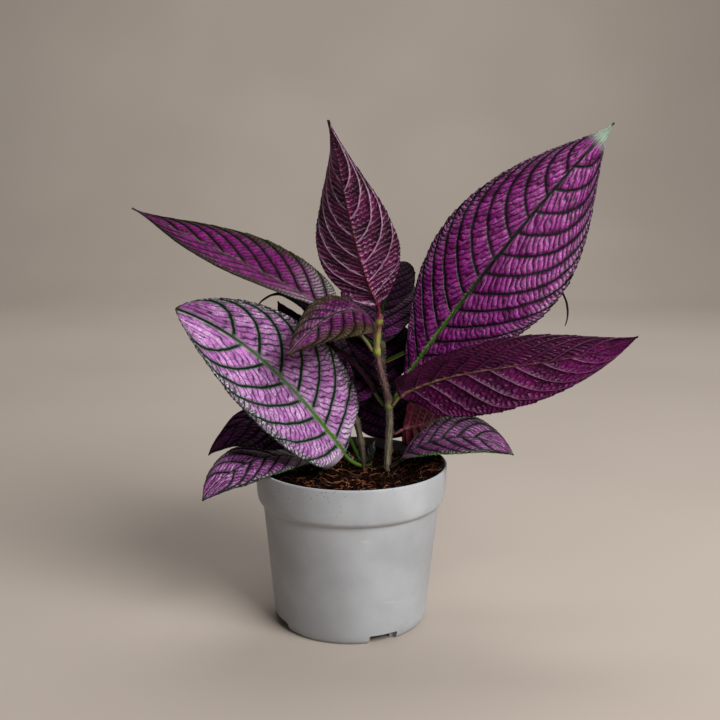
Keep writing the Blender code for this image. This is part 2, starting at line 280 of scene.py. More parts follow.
    def finish(self, **sockets: Union[Value, Tint]) -> bpy.types.Material:
        """Fills the shader's own sockets.

        Args:
            sockets: A value for each socket, by its name with underscores for spaces.

        Returns:
            The finished material.
        """
        for name, value in sockets.items():
            self.feed(self.shader.inputs[name.replace("_", " ")], value)
        return self.material


@dataclass
class LeafMap:
    """What both sides of a leaf read from its attributes: side veins, small cells, rib and margin."""

    desk: NodeDesk
    vein_width: float
    cell_length: float = 13.0
    jitter: float = 0.35
    stagger: float = 0.37

    def __post_init__(self) -> None:
        """Lays out the shared nodes."""
        desk = self.desk
        self.phase, self.ladder, self.spacing = desk.attribute("vein")
        self.along, self.from_rib, self.from_edge = desk.attribute("place")
        wide = desk.math("ADD", desk.math("ADD", self.from_rib, self.from_edge), 0.001)
        self.reach = desk.math("DIVIDE", self.from_rib, wide)
        self.waver = desk.math("SUBTRACT", desk.noise(260, 2), 0.5)
        self.mottle = desk.noise(330, 4, 0.7)
        self.patch = desk.noise(55, 2)
        self.grain = desk.band(desk.noise(1300, 2, 0.6), 0.4, 0.7)
        to_vein = desk.math("MULTIPLY", desk.math("PINGPONG", self.phase, 0.5), self.spacing)
        taper = desk.math("MULTIPLY_ADD", self.reach, -0.5 * self.vein_width, self.vein_width)
        self.vein_edge = desk.math("SUBTRACT", to_vein, desk.math("MULTIPLY_ADD", self.waver, 0.5, taper))
        self.vein = desk.band(self.vein_edge, 0.26, -0.2)
        self.steps_on = desk.math("MULTIPLY_ADD", self.waver, 0.1, self.ladder)
        self.rung = desk.math("PINGPONG", self.steps_on, 0.5)
        self.wall, self.tone = desk.flat_cells(self.lay_cells(), self.jitter)
        self.fine_net = desk.band(desk.cells(1500), 0.14, 0.02)

    def lay_cells(self) -> Socket:
        """Places the small cells: one ladder step wide, long, and staggered from step to step."""
        desk = self.desk
        panel = desk.math("FLOOR", self.phase)
        within = desk.math("MULTIPLY", desk.math("SUBTRACT", self.phase, panel), self.spacing)
        length = desk.math("MULTIPLY_ADD", panel, 13.0, desk.math("DIVIDE", within, self.cell_length))
        length = desk.math("MULTIPLY_ADD", desk.math("FLOOR", self.steps_on), self.stagger, length)
        return desk.vector(desk.math("ADD", self.steps_on, 0.5 + self.jitter / 2), length)

    def rib(self, low: float, slope: float) -> Socket:
        """The distance in millimetres from the midrib's edge, where its half width is low + slope·u."""
        width = self.desk.math("MULTIPLY_ADD", self.along, slope, low)
        edge = self.desk.math("MULTIPLY_ADD", self.waver, 0.4, width)
        return self.desk.math("SUBTRACT", self.from_rib, edge)


@dataclass(frozen=True)
class BladeFinish:
    """The upper side of a leaf: bright panels between dark veins, silvered towards the margin, with a painted
    highlight on the cushion tops.
    """

    name: str
    panel: Colour
    panel_pale: Colour
    silver: Colour
    silvering: float
    rim_silver: float
    vein: Colour
    vein_width: float
    ladder_share: float
    halo: Colour
    halo_share: float
    rib_halo: Colour
    rib_low: Colour
    rib_mid: Colour
    rib_tip: Colour
    rib_width: float
    margin: Colour
    margin_reach: float
    specks: float = 0.5
    roughness: float = 0.34
    metallic: float = 0.1
    base_patch: float = 0.0
    base_reach: float = 0.14
    tip_patch: float = 0.0
    tip_tone: Colour = paint(58, 44, 28)
    tip_brown: Colour = paint(58, 44, 28)
    net_share: float = 0.3
    rim_dark: float = 0.0
    outer: Optional[Colour] = None
    outer_from: float = 0.75
    gloss: float = 0.24
    relief: float = 0.34
    rib_taper: float = 0.65

    def make(self) -> bpy.types.Material:
        """Builds the upper side's material.

        Returns:
            The material, which reads the vein and place attributes of a leaf.
        """
        desk = NodeDesk(self.name)
        leaf = LeafMap(desk, self.vein_width)
        puff = desk.math("MULTIPLY", desk.band(leaf.rung, 0.03, 0.4), desk.band(leaf.vein_edge, 0.1, 2.4))
        rim_zone = desk.band(desk.math("MULTIPLY_ADD", leaf.patch, 0.35, leaf.reach), 0.76, 1.06)
        uneven = desk.math("MULTIPLY_ADD", desk.band(desk.noise(190, 1), 0.3, 0.55), 0.6, 0.4)
        fork = desk.math("MULTIPLY", desk.band(leaf.wall, 0.1, 0.03), 0.45)
        ladder_line = desk.math("MAXIMUM", desk.band(leaf.rung, 0.15, 0.06), fork)
        ladder_line = desk.math("MULTIPLY", ladder_line, uneven)
        colour = self.paint_panels(desk, leaf, puff)
        colour = self.paint_rim(desk, leaf, rim_zone, colour)
        net = desk.math("MULTIPLY", desk.band(desk.cells(560), 0.12, 0.03),
                        desk.math("MULTIPLY_ADD", rim_zone, 0.4, self.net_share))
        colour = desk.mix(net, colour, self.vein)
        colour = desk.mix(desk.math("MULTIPLY", leaf.fine_net, 0.16), colour, self.vein)
        speck = desk.band(desk.cells(700, "F1"), 0.27, 0.13)
        speck = desk.math("MULTIPLY", speck, desk.band(desk.noise(150, 1), 0.48, 0.6))
        colour = desk.mix(desk.math("MULTIPLY", speck, self.specks), colour, self.vein)
        colour = desk.mix(desk.math("MULTIPLY", ladder_line, self.ladder_share), colour, self.vein)
        edge = desk.math("MULTIPLY_ADD", leaf.waver, 1.2, leaf.from_edge)
        edge = desk.band(edge, self.margin_reach, 0.35 * self.margin_reach)
        colour = desk.mix(desk.math("MULTIPLY", edge, 0.9), colour, self.margin)
        colour = desk.mix(leaf.vein, colour, self.vein)
        colour, rib = self.paint_rib(desk, leaf, colour)
        tip = desk.math("MULTIPLY", desk.band(leaf.along, 0.9, 0.95), self.tip_patch)
        colour = desk.mix(tip, colour, self.tip_tone)
        colour = desk.mix(desk.band(leaf.along, 0.984, 0.992), colour, self.tip_brown)

        pillow = desk.math("POWER", desk.band(leaf.rung, 0, 0.42), 0.7)
        height = desk.math("MULTIPLY_ADD", puff, 0.5, desk.math("MULTIPLY", pillow, 0.5))
        height = desk.math("MULTIPLY_ADD", leaf.mottle, 0.3, height)
        height = desk.math("MULTIPLY_ADD", leaf.vein, -0.5, height)
        height = desk.math("MULTIPLY_ADD", leaf.fine_net, -0.08, height)
        desk.bump(height, self.relief * MM, 1.0)
        rough = desk.math("MULTIPLY_ADD", desk.math("MAXIMUM", leaf.vein, rib), 0.2, self.roughness)
        rough = desk.math("MULTIPLY_ADD", desk.math("SUBTRACT", leaf.mottle, 0.5), 0.2, rough)
        return desk.finish(Base_Color=colour, Roughness=rough, Metallic=self.metallic,
                           Specular_IOR_Level=self.gloss)

    def paint_panels(self, desk: NodeDesk, leaf: LeafMap, puff: Socket) -> Socket:
        """Colours the panels between the veins, with their silver sheen, the veins' halo and a painted
        highlight on the cushion tops.

        Args:
            desk: The material's nodes.
            leaf: The leaf's shared measures.
            puff: How far a place stands above the walls round it, from 0 to 1; it also pales the cushion tops
                as a painted highlight.

        Returns:
            The colour so far.
        """
        lively = desk.math("MULTIPLY_ADD", leaf.tone, 0.35, leaf.mottle)
        # painted highlight: the puff term pales the cushion tops towards panel_pale
        lively = desk.math("MULTIPLY_ADD", puff, 0.2, lively)
        colour = desk.mix(desk.band(lively, 0.45, 1.0), self.panel, self.panel_pale)
        if self.outer is not None:
            outward = desk.math("MULTIPLY_ADD", leaf.patch, 0.5, leaf.reach)
            outward = desk.band(outward, self.outer_from, self.outer_from + 0.4)
            colour = desk.mix(outward, colour, self.outer)
        sheen = desk.math("ADD", leaf.patch, desk.math("MULTIPLY_ADD", leaf.tone, 0.3, leaf.mottle))
        shine = desk.math("MULTIPLY", desk.band(sheen, 0.95, 1.4), leaf.grain)
        # painted highlight: more silver on the cushion tops, over the leaf's own silvering
        shine = desk.math("MULTIPLY", shine, desk.math("MULTIPLY_ADD", puff, 0.6, 0.4))
        colour = desk.mix(desk.math("MULTIPLY", shine, self.silvering), colour, self.silver)
        patched = desk.band(leaf.along, self.base_reach, 0.3 * self.base_reach)
        patched = desk.math("MULTIPLY", patched, desk.band(leaf.reach, 0.05, 0.25))
        # painted highlight: the silver base patch is stronger on the cushion tops
        patched = desk.math("MULTIPLY", patched, desk.math("MULTIPLY_ADD", puff, 0.8, 0.2))
        colour = desk.mix(desk.math("MULTIPLY", patched, self.base_patch), colour, self.silver)
        halo = desk.math("MULTIPLY", desk.band(leaf.vein_edge, 1.5, -0.2), self.halo_share)
        return desk.mix(halo, colour, self.halo)

    def paint_rim(self, desk: NodeDesk, leaf: LeafMap, rim_zone: Socket, colour: Socket) -> Socket:
        """Darkens the outer zone and strews it with small silver cells.

        Args:
            desk: The material's nodes.
            leaf: The leaf's shared measures.
            rim_zone: How far into the outer zone a place is, from 0 to 1.
            colour: The colour so far.

        Returns:
            The new colour.
        """
        colour = desk.mix(desk.math("MULTIPLY", rim_zone, self.rim_dark), colour, self.margin)
        cells = desk.math("MULTIPLY", desk.band(leaf.rung, 0.1, 0.3), rim_zone)
        cells = desk.math("MULTIPLY", cells, desk.band(desk.noise(620, 1), 0.4, 0.58))
        return desk.mix(desk.math("MULTIPLY", cells, self.rim_silver), colour, self.silver)

    def paint_rib(self, desk: NodeDesk, leaf: LeafMap, colour: Socket) -> tuple[Socket, Socket]:
        """Draws the midrib and the halo beside it.

        Args:
            desk: The material's nodes.
            leaf: The leaf's shared measures.
            colour: The colour so far.

        Returns:
            The new colour, and the midrib's share of each place.
        """
        rib_edge = leaf.rib(self.rib_width, -self.rib_taper * self.rib_width)
        rib = desk.band(rib_edge, 0.25, -0.2)
        rib_colour = desk.mix(desk.band(leaf.along, 0.16, 0.42), self.rib_low, self.rib_mid)
        rib_colour = desk.mix(desk.band(leaf.along, 0.5, 0.85), rib_colour, self.rib_tip)
        streak = desk.math("MULTIPLY", desk.band(leaf.mottle, 0.5, 0.8), 0.5)
        rib_colour = desk.mix(streak, rib_colour, self.vein)
        halo = desk.math("MULTIPLY", desk.band(rib_edge, 2.4, 0), self.halo_share)
        halo = desk.math("MULTIPLY", halo, desk.band(leaf.mottle, 0.3, 0.6))
        colour = desk.mix(halo, colour, self.rib_halo)
        return desk.mix(rib, colour, rib_colour), rib


@dataclass(frozen=True)
class BackFinish:
    """The underside of a leaf: a wine skin with a raised net of paler veins, painted shade beside the veins,
    and painted sheen and highlights.
    """

    name: str
    skin: Colour
    skin_deep: Colour
    vein: Colour
    vein_share: float
    ladder_share: float
    net_dark: float
    rib_low: Colour
    rib_tip: Colour
    painted_sheen: Colour
    painted_sheen_share: float
    vein_width: float = 0.5
    vein_fade: float = 0.6
    roughness: float = 0.4
    metallic: float = 0.0
    gloss: float = 0.3
    relief: float = 0.6
    tip: Colour = paint(34, 26, 26)

    def make(self) -> bpy.types.Material:
        """Builds the underside's material.

        Returns:
            The material, which reads the vein and place attributes of a leaf.
        """
        desk = NodeDesk(self.name)
        leaf = LeafMap(desk, self.vein_width)
        ridge = desk.math("MULTIPLY", desk.band(leaf.rung, 0.2, 0.05), desk.band(leaf.mottle, 0.3, 0.6))
        net = desk.band(desk.cells(560), 0.12, 0.03)
        fade = desk.math("MULTIPLY_ADD", leaf.reach, -self.vein_fade, 1.0)
        lively = desk.math("ADD", leaf.patch, desk.math("MULTIPLY_ADD", leaf.tone, 0.3, leaf.mottle))
        colour = desk.mix(desk.band(lively, 0.85, 1.45), self.skin_deep, self.skin)
        # painted sheen: paler patches inside the cells stand for the grey sheen on the underside
        painted_sheen = desk.math("MULTIPLY", desk.band(leaf.patch, 0.45, 0.7), desk.band(leaf.rung, 0.05, 0.3))
        colour = desk.mix(desk.math("MULTIPLY", painted_sheen, self.painted_sheen_share), colour, self.painted_sheen)
        # painted shade: the skin darkens in the hollows beside the raised veins
        valley_shade = desk.math("MULTIPLY", desk.band(leaf.vein_edge, 2.2, 0), 0.45)
        colour = desk.mix(valley_shade, colour, self.skin_deep)
        colour = desk.mix(desk.math("MULTIPLY", net, self.net_dark), colour, self.skin_deep)
        # the paler ridges and veins are the leaf's own paler veins and, with the wine and maroon shares, also
        # a painted highlight on the raised ridges
        colour = desk.mix(desk.math("MULTIPLY", ridge, self.ladder_share), colour, self.vein)
        streak = desk.math("MULTIPLY", desk.math("MULTIPLY", leaf.vein, fade), self.vein_share)
        colour = desk.mix(streak, colour, self.vein)
        edge = desk.band(desk.math("MULTIPLY_ADD", leaf.waver, 1.2, leaf.from_edge), 1.4, 0.4)
        colour = desk.mix(desk.math("MULTIPLY", edge, 0.85), colour, self.skin_deep)
        rib_colour = desk.mix(desk.band(leaf.along, 0.1, 0.9), self.rib_low, self.rib_tip)
        rib = desk.band(leaf.rib(1.3, -1.0), 0.25, -0.2)
        colour = desk.mix(rib, colour, rib_colour)
        colour = desk.mix(desk.band(leaf.along, 0.97, 0.985), colour, self.tip)

        hollow = desk.math("MULTIPLY", desk.band(leaf.rung, 0.0, 0.4), desk.band(leaf.vein_edge, -0.2, 2.2))
        raised = desk.math("SUBTRACT", desk.math("MULTIPLY", leaf.mottle, 0.3), hollow)
        raised = desk.math("MULTIPLY_ADD", leaf.vein, 0.35, raised)
        raised = desk.math("MULTIPLY_ADD", net, 0.15, raised)
        desk.bump(raised, self.relief * MM, 1.0)
        rough = desk.math("MULTIPLY_ADD", desk.math("SUBTRACT", leaf.mottle, 0.5), 0.2, self.roughness)
        return desk.finish(Base_Color=colour, Roughness=rough, Metallic=self.metallic,
                           Specular_IOR_Level=self.gloss)


class UpperLook(Enum):
    """How a leaf's upper side is coloured."""

    LILAC = BladeFinish(
        "leaf_upper_lilac", panel=paint(136, 66, 134), panel_pale=paint(182, 112, 182),
        silver=paint(230, 226, 232), silvering=0.75, rim_silver=0.48, vein=paint(12, 34, 14),
        vein_width=0.9, ladder_share=0.9, halo=paint(88, 104, 90), halo_share=0.8,
        rib_halo=paint(108, 124, 108), rib_low=paint(62, 98, 24), rib_mid=paint(84, 104, 74),
        rib_tip=paint(16, 36, 18), rib_width=1.4, margin=paint(18, 42, 16), margin_reach=3.4, specks=0.8,
        base_patch=0.6, roughness=0.48, metallic=0.04, rim_dark=0.6, relief=0.16, gloss=0.1,
        rib_taper=0.45,
    )
    MAGENTA = BladeFinish(
        "leaf_upper_magenta", panel=paint(72, 1, 60), panel_pale=paint(132, 26, 116),
        silver=paint(200, 140, 192), silvering=0.5, rim_silver=0.5, vein=paint(3, 7, 3),
        vein_width=0.72, ladder_share=0.85, halo=paint(34, 12, 32), halo_share=0.45,
        rib_halo=paint(40, 30, 38), rib_low=paint(56, 98, 14), rib_mid=paint(8, 14, 5),
        rib_tip=paint(8, 13, 6), rib_width=1.5, margin=paint(34, 40, 20), margin_reach=2.3, specks=0.35,
        tip_patch=0.9, roughness=0.34, tip_tone=paint(140, 160, 142), rim_dark=0.35, relief=0.24,
        rib_taper=0.4, gloss=0.18,
    )
    BRONZE = BladeFinish(
        "leaf_upper_bronze", panel=paint(72, 0, 62), panel_pale=paint(126, 8, 110),
        silver=paint(190, 196, 188), silvering=0.1, rim_silver=0.05, vein=paint(12, 22, 3),
        vein_width=0.6, ladder_share=0.75, halo=paint(40, 36, 20), halo_share=0.5,
        rib_halo=paint(120, 114, 100), rib_low=paint(92, 90, 64), rib_mid=paint(40, 34, 20),
        rib_tip=paint(22, 12, 12), rib_width=0.8, margin=paint(34, 30, 8), margin_reach=3.4,
        outer=paint(46, 30, 10), outer_from=0.72, roughness=0.45, metallic=0.04, base_patch=0.5,
        base_reach=0.34, gloss=0.05,
    )
    YOUNG = BladeFinish(
        "leaf_upper_young", panel=paint(60, 0, 52), panel_pale=paint(108, 10, 94),
        silver=paint(206, 202, 198), silvering=0.3, rim_silver=0.04, vein=paint(12, 12, 3),
        vein_width=0.5, ladder_share=0.7, halo=paint(30, 20, 10), halo_share=0.4,
        rib_halo=paint(116, 104, 108), rib_low=paint(44, 50, 18), rib_mid=paint(22, 28, 8),
        rib_tip=paint(28, 26, 8), rib_width=0.6, margin=paint(70, 56, 16), margin_reach=2.4,
        outer=paint(58, 38, 8), outer_from=0.5, roughness=0.34, metallic=0.04, gloss=0.12,
    )
    RIM = BladeFinish(
        "leaf_upper_rim", panel=paint(108, 34, 102), panel_pale=paint(186, 104, 180),
        silver=paint(222, 204, 220), silvering=0.6, rim_silver=0.45, vein=paint(3, 15, 3),
        vein_width=0.6, ladder_share=0.9, halo=paint(28, 36, 24), halo_share=0.5,
        rib_halo=paint(34, 42, 28), rib_low=paint(30, 36, 14), rib_mid=paint(12, 28, 6),
        rib_tip=paint(14, 24, 6), rib_width=0.75, margin=paint(34, 72, 14), margin_reach=3.2, specks=0.5,
        roughness=0.34, net_share=0.6, rim_dark=0.55,
    )
    EDGE = BladeFinish(
        "leaf_upper_edge", panel=paint(72, 16, 66), panel_pale=paint(142, 68, 134),
        silver=paint(206, 184, 204), silvering=0.5, rim_silver=0.3, vein=paint(3, 13, 3),
        vein_width=0.65, ladder_share=0.9, halo=paint(16, 26, 14), halo_share=0.5,
        rib_halo=paint(22, 32, 18), rib_low=paint(26, 22, 12), rib_mid=paint(10, 26, 5),
        rib_tip=paint(14, 26, 6), rib_width=0.75, margin=paint(70, 128, 24), margin_reach=3.0, specks=0.5,
        roughness=0.34, net_share=0.6, rim_dark=0.4,
    )
    # painted shade: a darker copy of the magenta upper side, for leaves that stand back in shadow
    DEEP = BladeFinish(
        "leaf_upper_deep_shade", panel=paint(46, 3, 42), panel_pale=paint(92, 26, 84),
        silver=paint(140, 104, 136), silvering=0.3, rim_silver=0.25, vein=paint(3, 8, 3),
        vein_width=0.6, ladder_share=0.9, halo=paint(18, 16, 18), halo_share=0.5,
        rib_halo=paint(20, 22, 18), rib_low=paint(36, 56, 12), rib_mid=paint(10, 16, 5),
        rib_tip=paint(10, 14, 6), rib_width=0.8, margin=paint(16, 30, 8), margin_reach=2.0, specks=0.4,
        roughness=0.42, net_share=0.5, rim_dark=0.3, gloss=0.03,
    )
    SHADE = BladeFinish(
        "leaf_upper_shade", panel=paint(20, 1, 18), panel_pale=paint(44, 9, 38),
        silver=paint(80, 52, 76), silvering=0.25, rim_silver=0.15, vein=paint(2, 6, 2),
        vein_width=0.55, ladder_share=0.9, halo=paint(12, 12, 12), halo_share=0.5,
        rib_halo=paint(14, 16, 12), rib_low=paint(24, 36, 10), rib_mid=paint(7, 11, 4),
        rib_tip=paint(8, 10, 5), rib_width=0.75, margin=paint(12, 26, 6), margin_reach=1.8, specks=0.4,
        roughness=0.55, net_share=0.5, rim_dark=0.3, gloss=0.01,
    )


class BackLook(Enum):
    """How a leaf's underside is coloured."""

    # painted highlight: the very pale vein colour and high vein and ladder shares stand for glints on the
    # raised ridges, over the leaf's paler veins
    WINE = BackFinish(
        "leaf_back_wine", skin=paint(128, 2, 90), skin_deep=paint(58, 0, 38),
        vein=paint(210, 166, 200), vein_share=0.85, ladder_share=0.6, net_dark=0.3,
        rib_low=paint(96, 24, 46), rib_tip=paint(62, 8, 34), painted_sheen=paint(126, 40, 100), painted_sheen_share=0.25,
        vein_width=0.45, vein_fade=0.35, roughness=0.3, gloss=0.5, relief=1.1,
    )
    # painted highlight: the pale vein colour partly stands for bright lines along the raised veins
    MAROON = BackFinish(
        "leaf_back_maroon", skin=paint(98, 2, 76), skin_deep=paint(52, 0, 40),
        vein=paint(150, 92, 130), vein_share=0.5, ladder_share=0.06, net_dark=0.5,
        rib_low=paint(126, 106, 72), rib_tip=paint(92, 26, 60), painted_sheen=paint(108, 34, 90), painted_sheen_share=0.3,
        vein_width=0.3, roughness=0.34, gloss=0.2, relief=0.8,
    )
    # painted light: the redder crimson skin stands for light shining through this leaf from behind, over its
    # own wine colour
    CRIMSON = BackFinish(
        "leaf_back_crimson", skin=paint(106, 4, 40), skin_deep=paint(56, 0, 20),
        vein=paint(150, 84, 100), vein_share=0.5, ladder_share=0.1, net_dark=0.4,
        rib_low=paint(110, 44, 56), rib_tip=paint(96, 30, 50), painted_sheen=paint(112, 20, 52), painted_sheen_share=0.3,
        gloss=0.25,
    )
    PLAIN = BackFinish(
        "leaf_back_plain", skin=paint(86, 5, 60), skin_deep=paint(42, 0, 28),
        vein=paint(116, 60, 90), vein_share=0.5, ladder_share=0.25, net_dark=0.45,
        rib_low=paint(78, 60, 36), rib_tip=paint(66, 24, 42), painted_sheen=paint(74, 26, 60), painted_sheen_share=0.3,
        gloss=0.25,
    )


@dataclass(frozen=True)
class StemPlan:
    """A shoot: the points it passes through above the soil, and the heights of its leaf joints."""

    name: str
    path: tuple
    joints: tuple

    def at(self, height: float) -> np.ndarray:
        """The shoot's centre at a height.

        Args:
            height: The height in metres.

        Returns:
            The point in metres, on a cubic through the path that leaves the soil upright.
        """
        path = np.array(self.path, float) * MM
        z = path[:, 2]
        height = min(max(height, z[0]), z[-1])
        slopes = np.gradient(path[:, :2], z, axis=0)
        slopes[0] = 0
        index = min(int(np.searchsorted(z, height, side="right")) - 1, len(z) - 2)
        span = z[index + 1] - z[index]
        t = (height - z[index]) / span
        plan = (
            (2 * t**3 - 3 * t**2 + 1) * path[index, :2]
            + (t**3 - 2 * t**2 + t) * span * slopes[index]
            + (3 * t**2 - 2 * t**3) * path[index + 1, :2]
            + (t**3 - t**2) * span * slopes[index + 1]
        )
        return np.array([plan[0], plan[1], height])

    @property
    def top(self) -> float:
        """The height of the shoot's end, in metres."""
        return self.path[-1][2] * MM


class Fineness(Enum):
    """How finely a leaf is divided: columns across one side, and rows along the blade."""

    HERO = (136, 330)
    LARGE = (114, 290)
    MIDDLE = (76, 230)
    SMALL = (46, 140)
    HIDDEN = (30, 84)
    SPROUT = (12, 36)


@dataclass(frozen=True)
class LeafPlan:
    """A leaf, in millimetres and degrees.

    heading is the way the petiole points in plan, and turn what the midrib adds to it by the tip.
    lifts are the angles above level of the petiole, the blade's base, its middle and its tip.
    rolls turn the blade about its midrib, fold raises both halves, and curl bends them on.
    fullness rounds the base, taper draws out the tip, and lean widens the left half.
    pitch is the gap between ladder veins, and puff how high the panels stand between side veins.
    level turns the ladder veins from crossing the side veins, at 0, to crossing the midrib, at 1.
    sweep carries the side veins forwards as a share of the length, and rake is how much of that
    they have as they leave the midrib.
    """

    name: str
    stem: str
    height: float
    heading: float
    turn: float
    petiole: float
    lifts: tuple
    length: float
    half_width: float
    rolls: tuple
    fold: float = 6
    curl: float = 0
    fullness: float = 0.75
    taper: float = 1.1
    lean: float = 0
    ribs: int = 8
    pitch: float = 3.0
    sweep: float = 0.36
    rake: float = 0.4
    puff: float = 0.5
    level: float = 0
    blunt: float = 0.6
    upper: UpperLook = UpperLook.SHADE
    back: BackLook = BackLook.PLAIN
    fineness: Fineness = Fineness.HIDDEN
    slot: str = "leaf_purple"

    def outline(self, u: np.ndarray) -> np.ndarray:
        """The blade's half width at u, from 0 at its base to 1 at its tip, as a share of the widest."""
        u = np.clip(u, 0, 1)
        widest = self.fullness / (self.fullness + self.taper)
        return (u / widest) ** self.fullness * ((1 - u) / (1 - widest)) ** self.taper


STEMS = (
    StemPlan("stem_front", ((22.5, 0, 98), (23, 0, 137), (15.5, -0.5, 171), (17, 0, 195)), (137, 171, 190)),
    StemPlan("stem_back", ((24, 14, 98), (24, 14, 136), (19, 14, 160), (19, 13, 176)),
             (104, 116, 136, 163, 172)),
    StemPlan("stem_middle", ((8, 4, 98), (6, 8, 112), (2, 12, 128)), (112, 124)),
    StemPlan("stem_left", ((-20, -7, 98), (-21, -3, 108), (-18, 2, 120)), (106, 118)),
)

LEAVES = (
    LeafPlan("leaf_front_left", "stem_middle", 97.5, 206, -22, 14, (25, 52, 56, 19), 142, 36, (-60, -78),
             fold=14, curl=5.5, fullness=0.45, taper=0.77, lean=0.03, ribs=9, pitch=3.4,
             rake=0.3, upper=UpperLook.LILAC, fineness=Fineness.LARGE),
    LeafPlan("leaf_right_tall", "stem_back", 136, -2, 16, 14, (80, 56, 52, 45), 209, 43, (38, 94),
             fold=3, curl=-1, fullness=1.1, taper=1.35, lean=-0.08, ribs=14, pitch=3.2,
             sweep=0.32, rake=0.22, upper=UpperLook.MAGENTA, fineness=Fineness.HERO),
    LeafPlan("leaf_top", "stem_front", 195, 238, -22, 6, (72, 48, 84, 70), 117, 27.5, (30, -9),
             fold=13, curl=4, fullness=0.8, taper=1.32, lean=-0.12, ribs=8, pitch=3.0, sweep=0.44,
             rake=0.2, puff=0.8, level=1, blunt=1.4, upper=UpperLook.DEEP, back=BackLook.WINE,
             fineness=Fineness.MIDDLE, slot="leaf_maroon"),
    LeafPlan("leaf_left", "stem_front", 171, 171, -6, 28, (68, 30, 22, 24), 152, 29, (-9, -40),
             fold=18, curl=1, fullness=0.68, taper=1.5, lean=0.11, ribs=11, pitch=2.6,
             rake=0.55, upper=UpperLook.BRONZE, fineness=Fineness.MIDDLE),
    LeafPlan("leaf_right_low", "stem_front", 137, -16, 22, 9, (90, 32, -12, 26), 150, 31, (-45, -90),
             fold=-17, curl=-11, fullness=0.5, taper=1.1, lean=-0.08, ribs=10, pitch=3.2,
             rake=0.6, puff=0.55, upper=UpperLook.DEEP, back=BackLook.MAROON,
             fineness=Fineness.MIDDLE, slot="leaf_maroon"),
    LeafPlan("leaf_young_front", "stem_front", 189, 227, -8, 4, (36, 43, -35, -41), 75, 18.7, (-30, -29),
             fold=-1, curl=-8, fullness=0.56, taper=1.06, lean=0.1, pitch=2.2,
             upper=UpperLook.YOUNG, fineness=Fineness.SMALL),
    LeafPlan("leaf_rim_left", "stem_left", 101.5, 206, 0, 5, (24, 28, -14, -53), 77, 20, (2, -36),
             fold=-3, curl=-6, fullness=0.63, taper=1, lean=-0.12, pitch=2.4,
             upper=UpperLook.RIM, fineness=Fineness.SMALL),
    LeafPlan("leaf_rim_right", "stem_front", 98.5, -17, 13, 8, (39, 40, 15, -40), 77, 21.7, (11, 28),
             fold=8, curl=-1, fullness=0.84, taper=1.07, lean=0.03, pitch=2.4,
             upper=UpperLook.EDGE, fineness=Fineness.SMALL),
    LeafPlan("leaf_shaded_left", "stem_left", 106, 180, 1, 8, (77, 67, -22, -64), 80, 23.3, (-25, -18),
             fold=-1, curl=-8, lean=0.25, upper=UpperLook.DEEP, fineness=Fineness.SMALL),
    LeafPlan("leaf_behind_left", "stem_middle", 99, 153, 1, 24, (67, 59, 55, 59), 92, 22.8, (-34, -33),
             fold=6, curl=-2, upper=UpperLook.DEEP, fineness=Fineness.SMALL),
    LeafPlan("leaf_curled_tip", "stem_back", 172, 161, -8, 16, (41, 17, 68, -57), 80, 15, (-19, -19),
             fold=8, fullness=0.7, taper=2.4),
    LeafPlan("leaf_crimson", "stem_back", 116, 32, 0, 6, (22, 3, 4, 10), 54, 18.5, (-78, -72),
             fold=13, curl=4, fullness=0.52, back=BackLook.CRIMSON, fineness=Fineness.SMALL,
             slot="leaf_maroon"),
    LeafPlan("leaf_right_behind", "stem_back", 163, 36, -28, 22, (16, 15, 93, -112), 158, 20, (30, 24),
             fold=9, fullness=0.7, taper=1.75, ribs=10),
    LeafPlan("leaf_dark_right", "stem_front", 190, 73, 4, 8, (60, 44, 22, 0), 68, 14.5, (12, 0),
             fold=6, curl=-2, fullness=0.72),
    LeafPlan("leaf_inner", "stem_front", 137, 165, 0, 10, (65, 55, 45, 20), 48, 13, (15, 15), ribs=7),
    LeafPlan("leaf_inner_left", "stem_back", 136, 101, 0, 12, (65, 50, 30, 5), 95, 23, (10, 0)),
    LeafPlan("leaf_back_left", "stem_middle", 122, 100, 0, 12, (60, 40, 25, 0), 118, 27, (0, 0), ribs=9,
             upper=UpperLook.DEEP),
    LeafPlan("leaf_back_right", "stem_back", 163, 90, 0, 14, (60, 38, 20, -12), 115, 26, (0, 0), ribs=9,
             upper=UpperLook.DEEP),
    LeafPlan("leaf_back_low", "stem_back", 104, 94, 0, 8, (54, 50, 28, -30), 87, 25, (0, 0), fullness=0.5),
    LeafPlan("leaf_sprout", "stem_middle", 98, -40, 0, 3, (45, 72, 72, 72), 15, 4.6, (60, 60), ribs=4,
             pitch=1.2, upper=UpperLook.LILAC, fineness=Fineness.SPROUT),
)


def fit_piece(bm: bmesh.types.BMesh, name: str, finishes: Iterable[bpy.types.Material], node: Optional[str]) -> bpy.types.Object:
    """Ends a bmesh and puts it in the scene as a piece of the object.

    Args:
        bm: The finished shape, in the frame's metres.
        name: The piece's name.
        finishes: The piece's materials, in the order of its faces' slots.
        node: The CAD node it stands for, if any.

    Returns:
        The piece, riding on the root.
    """
    mesh = bpy.data.meshes.new(name)
    bm.to_mesh(mesh)
    bm.free()
    mesh.shade_smooth()
    piece = bpy.data.objects.new(name, mesh)
    bpy.context.scene.collection.objects.link(piece)
    for finish in finishes:
        mesh.materials.append(finish)
    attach(piece, "root")
    if node:
        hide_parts(node)
    triangles = sum(len(face.vertices) - 2 for face in mesh.polygons)
    log.info("%-24s %7d triangles", name, triangles)
    return piece


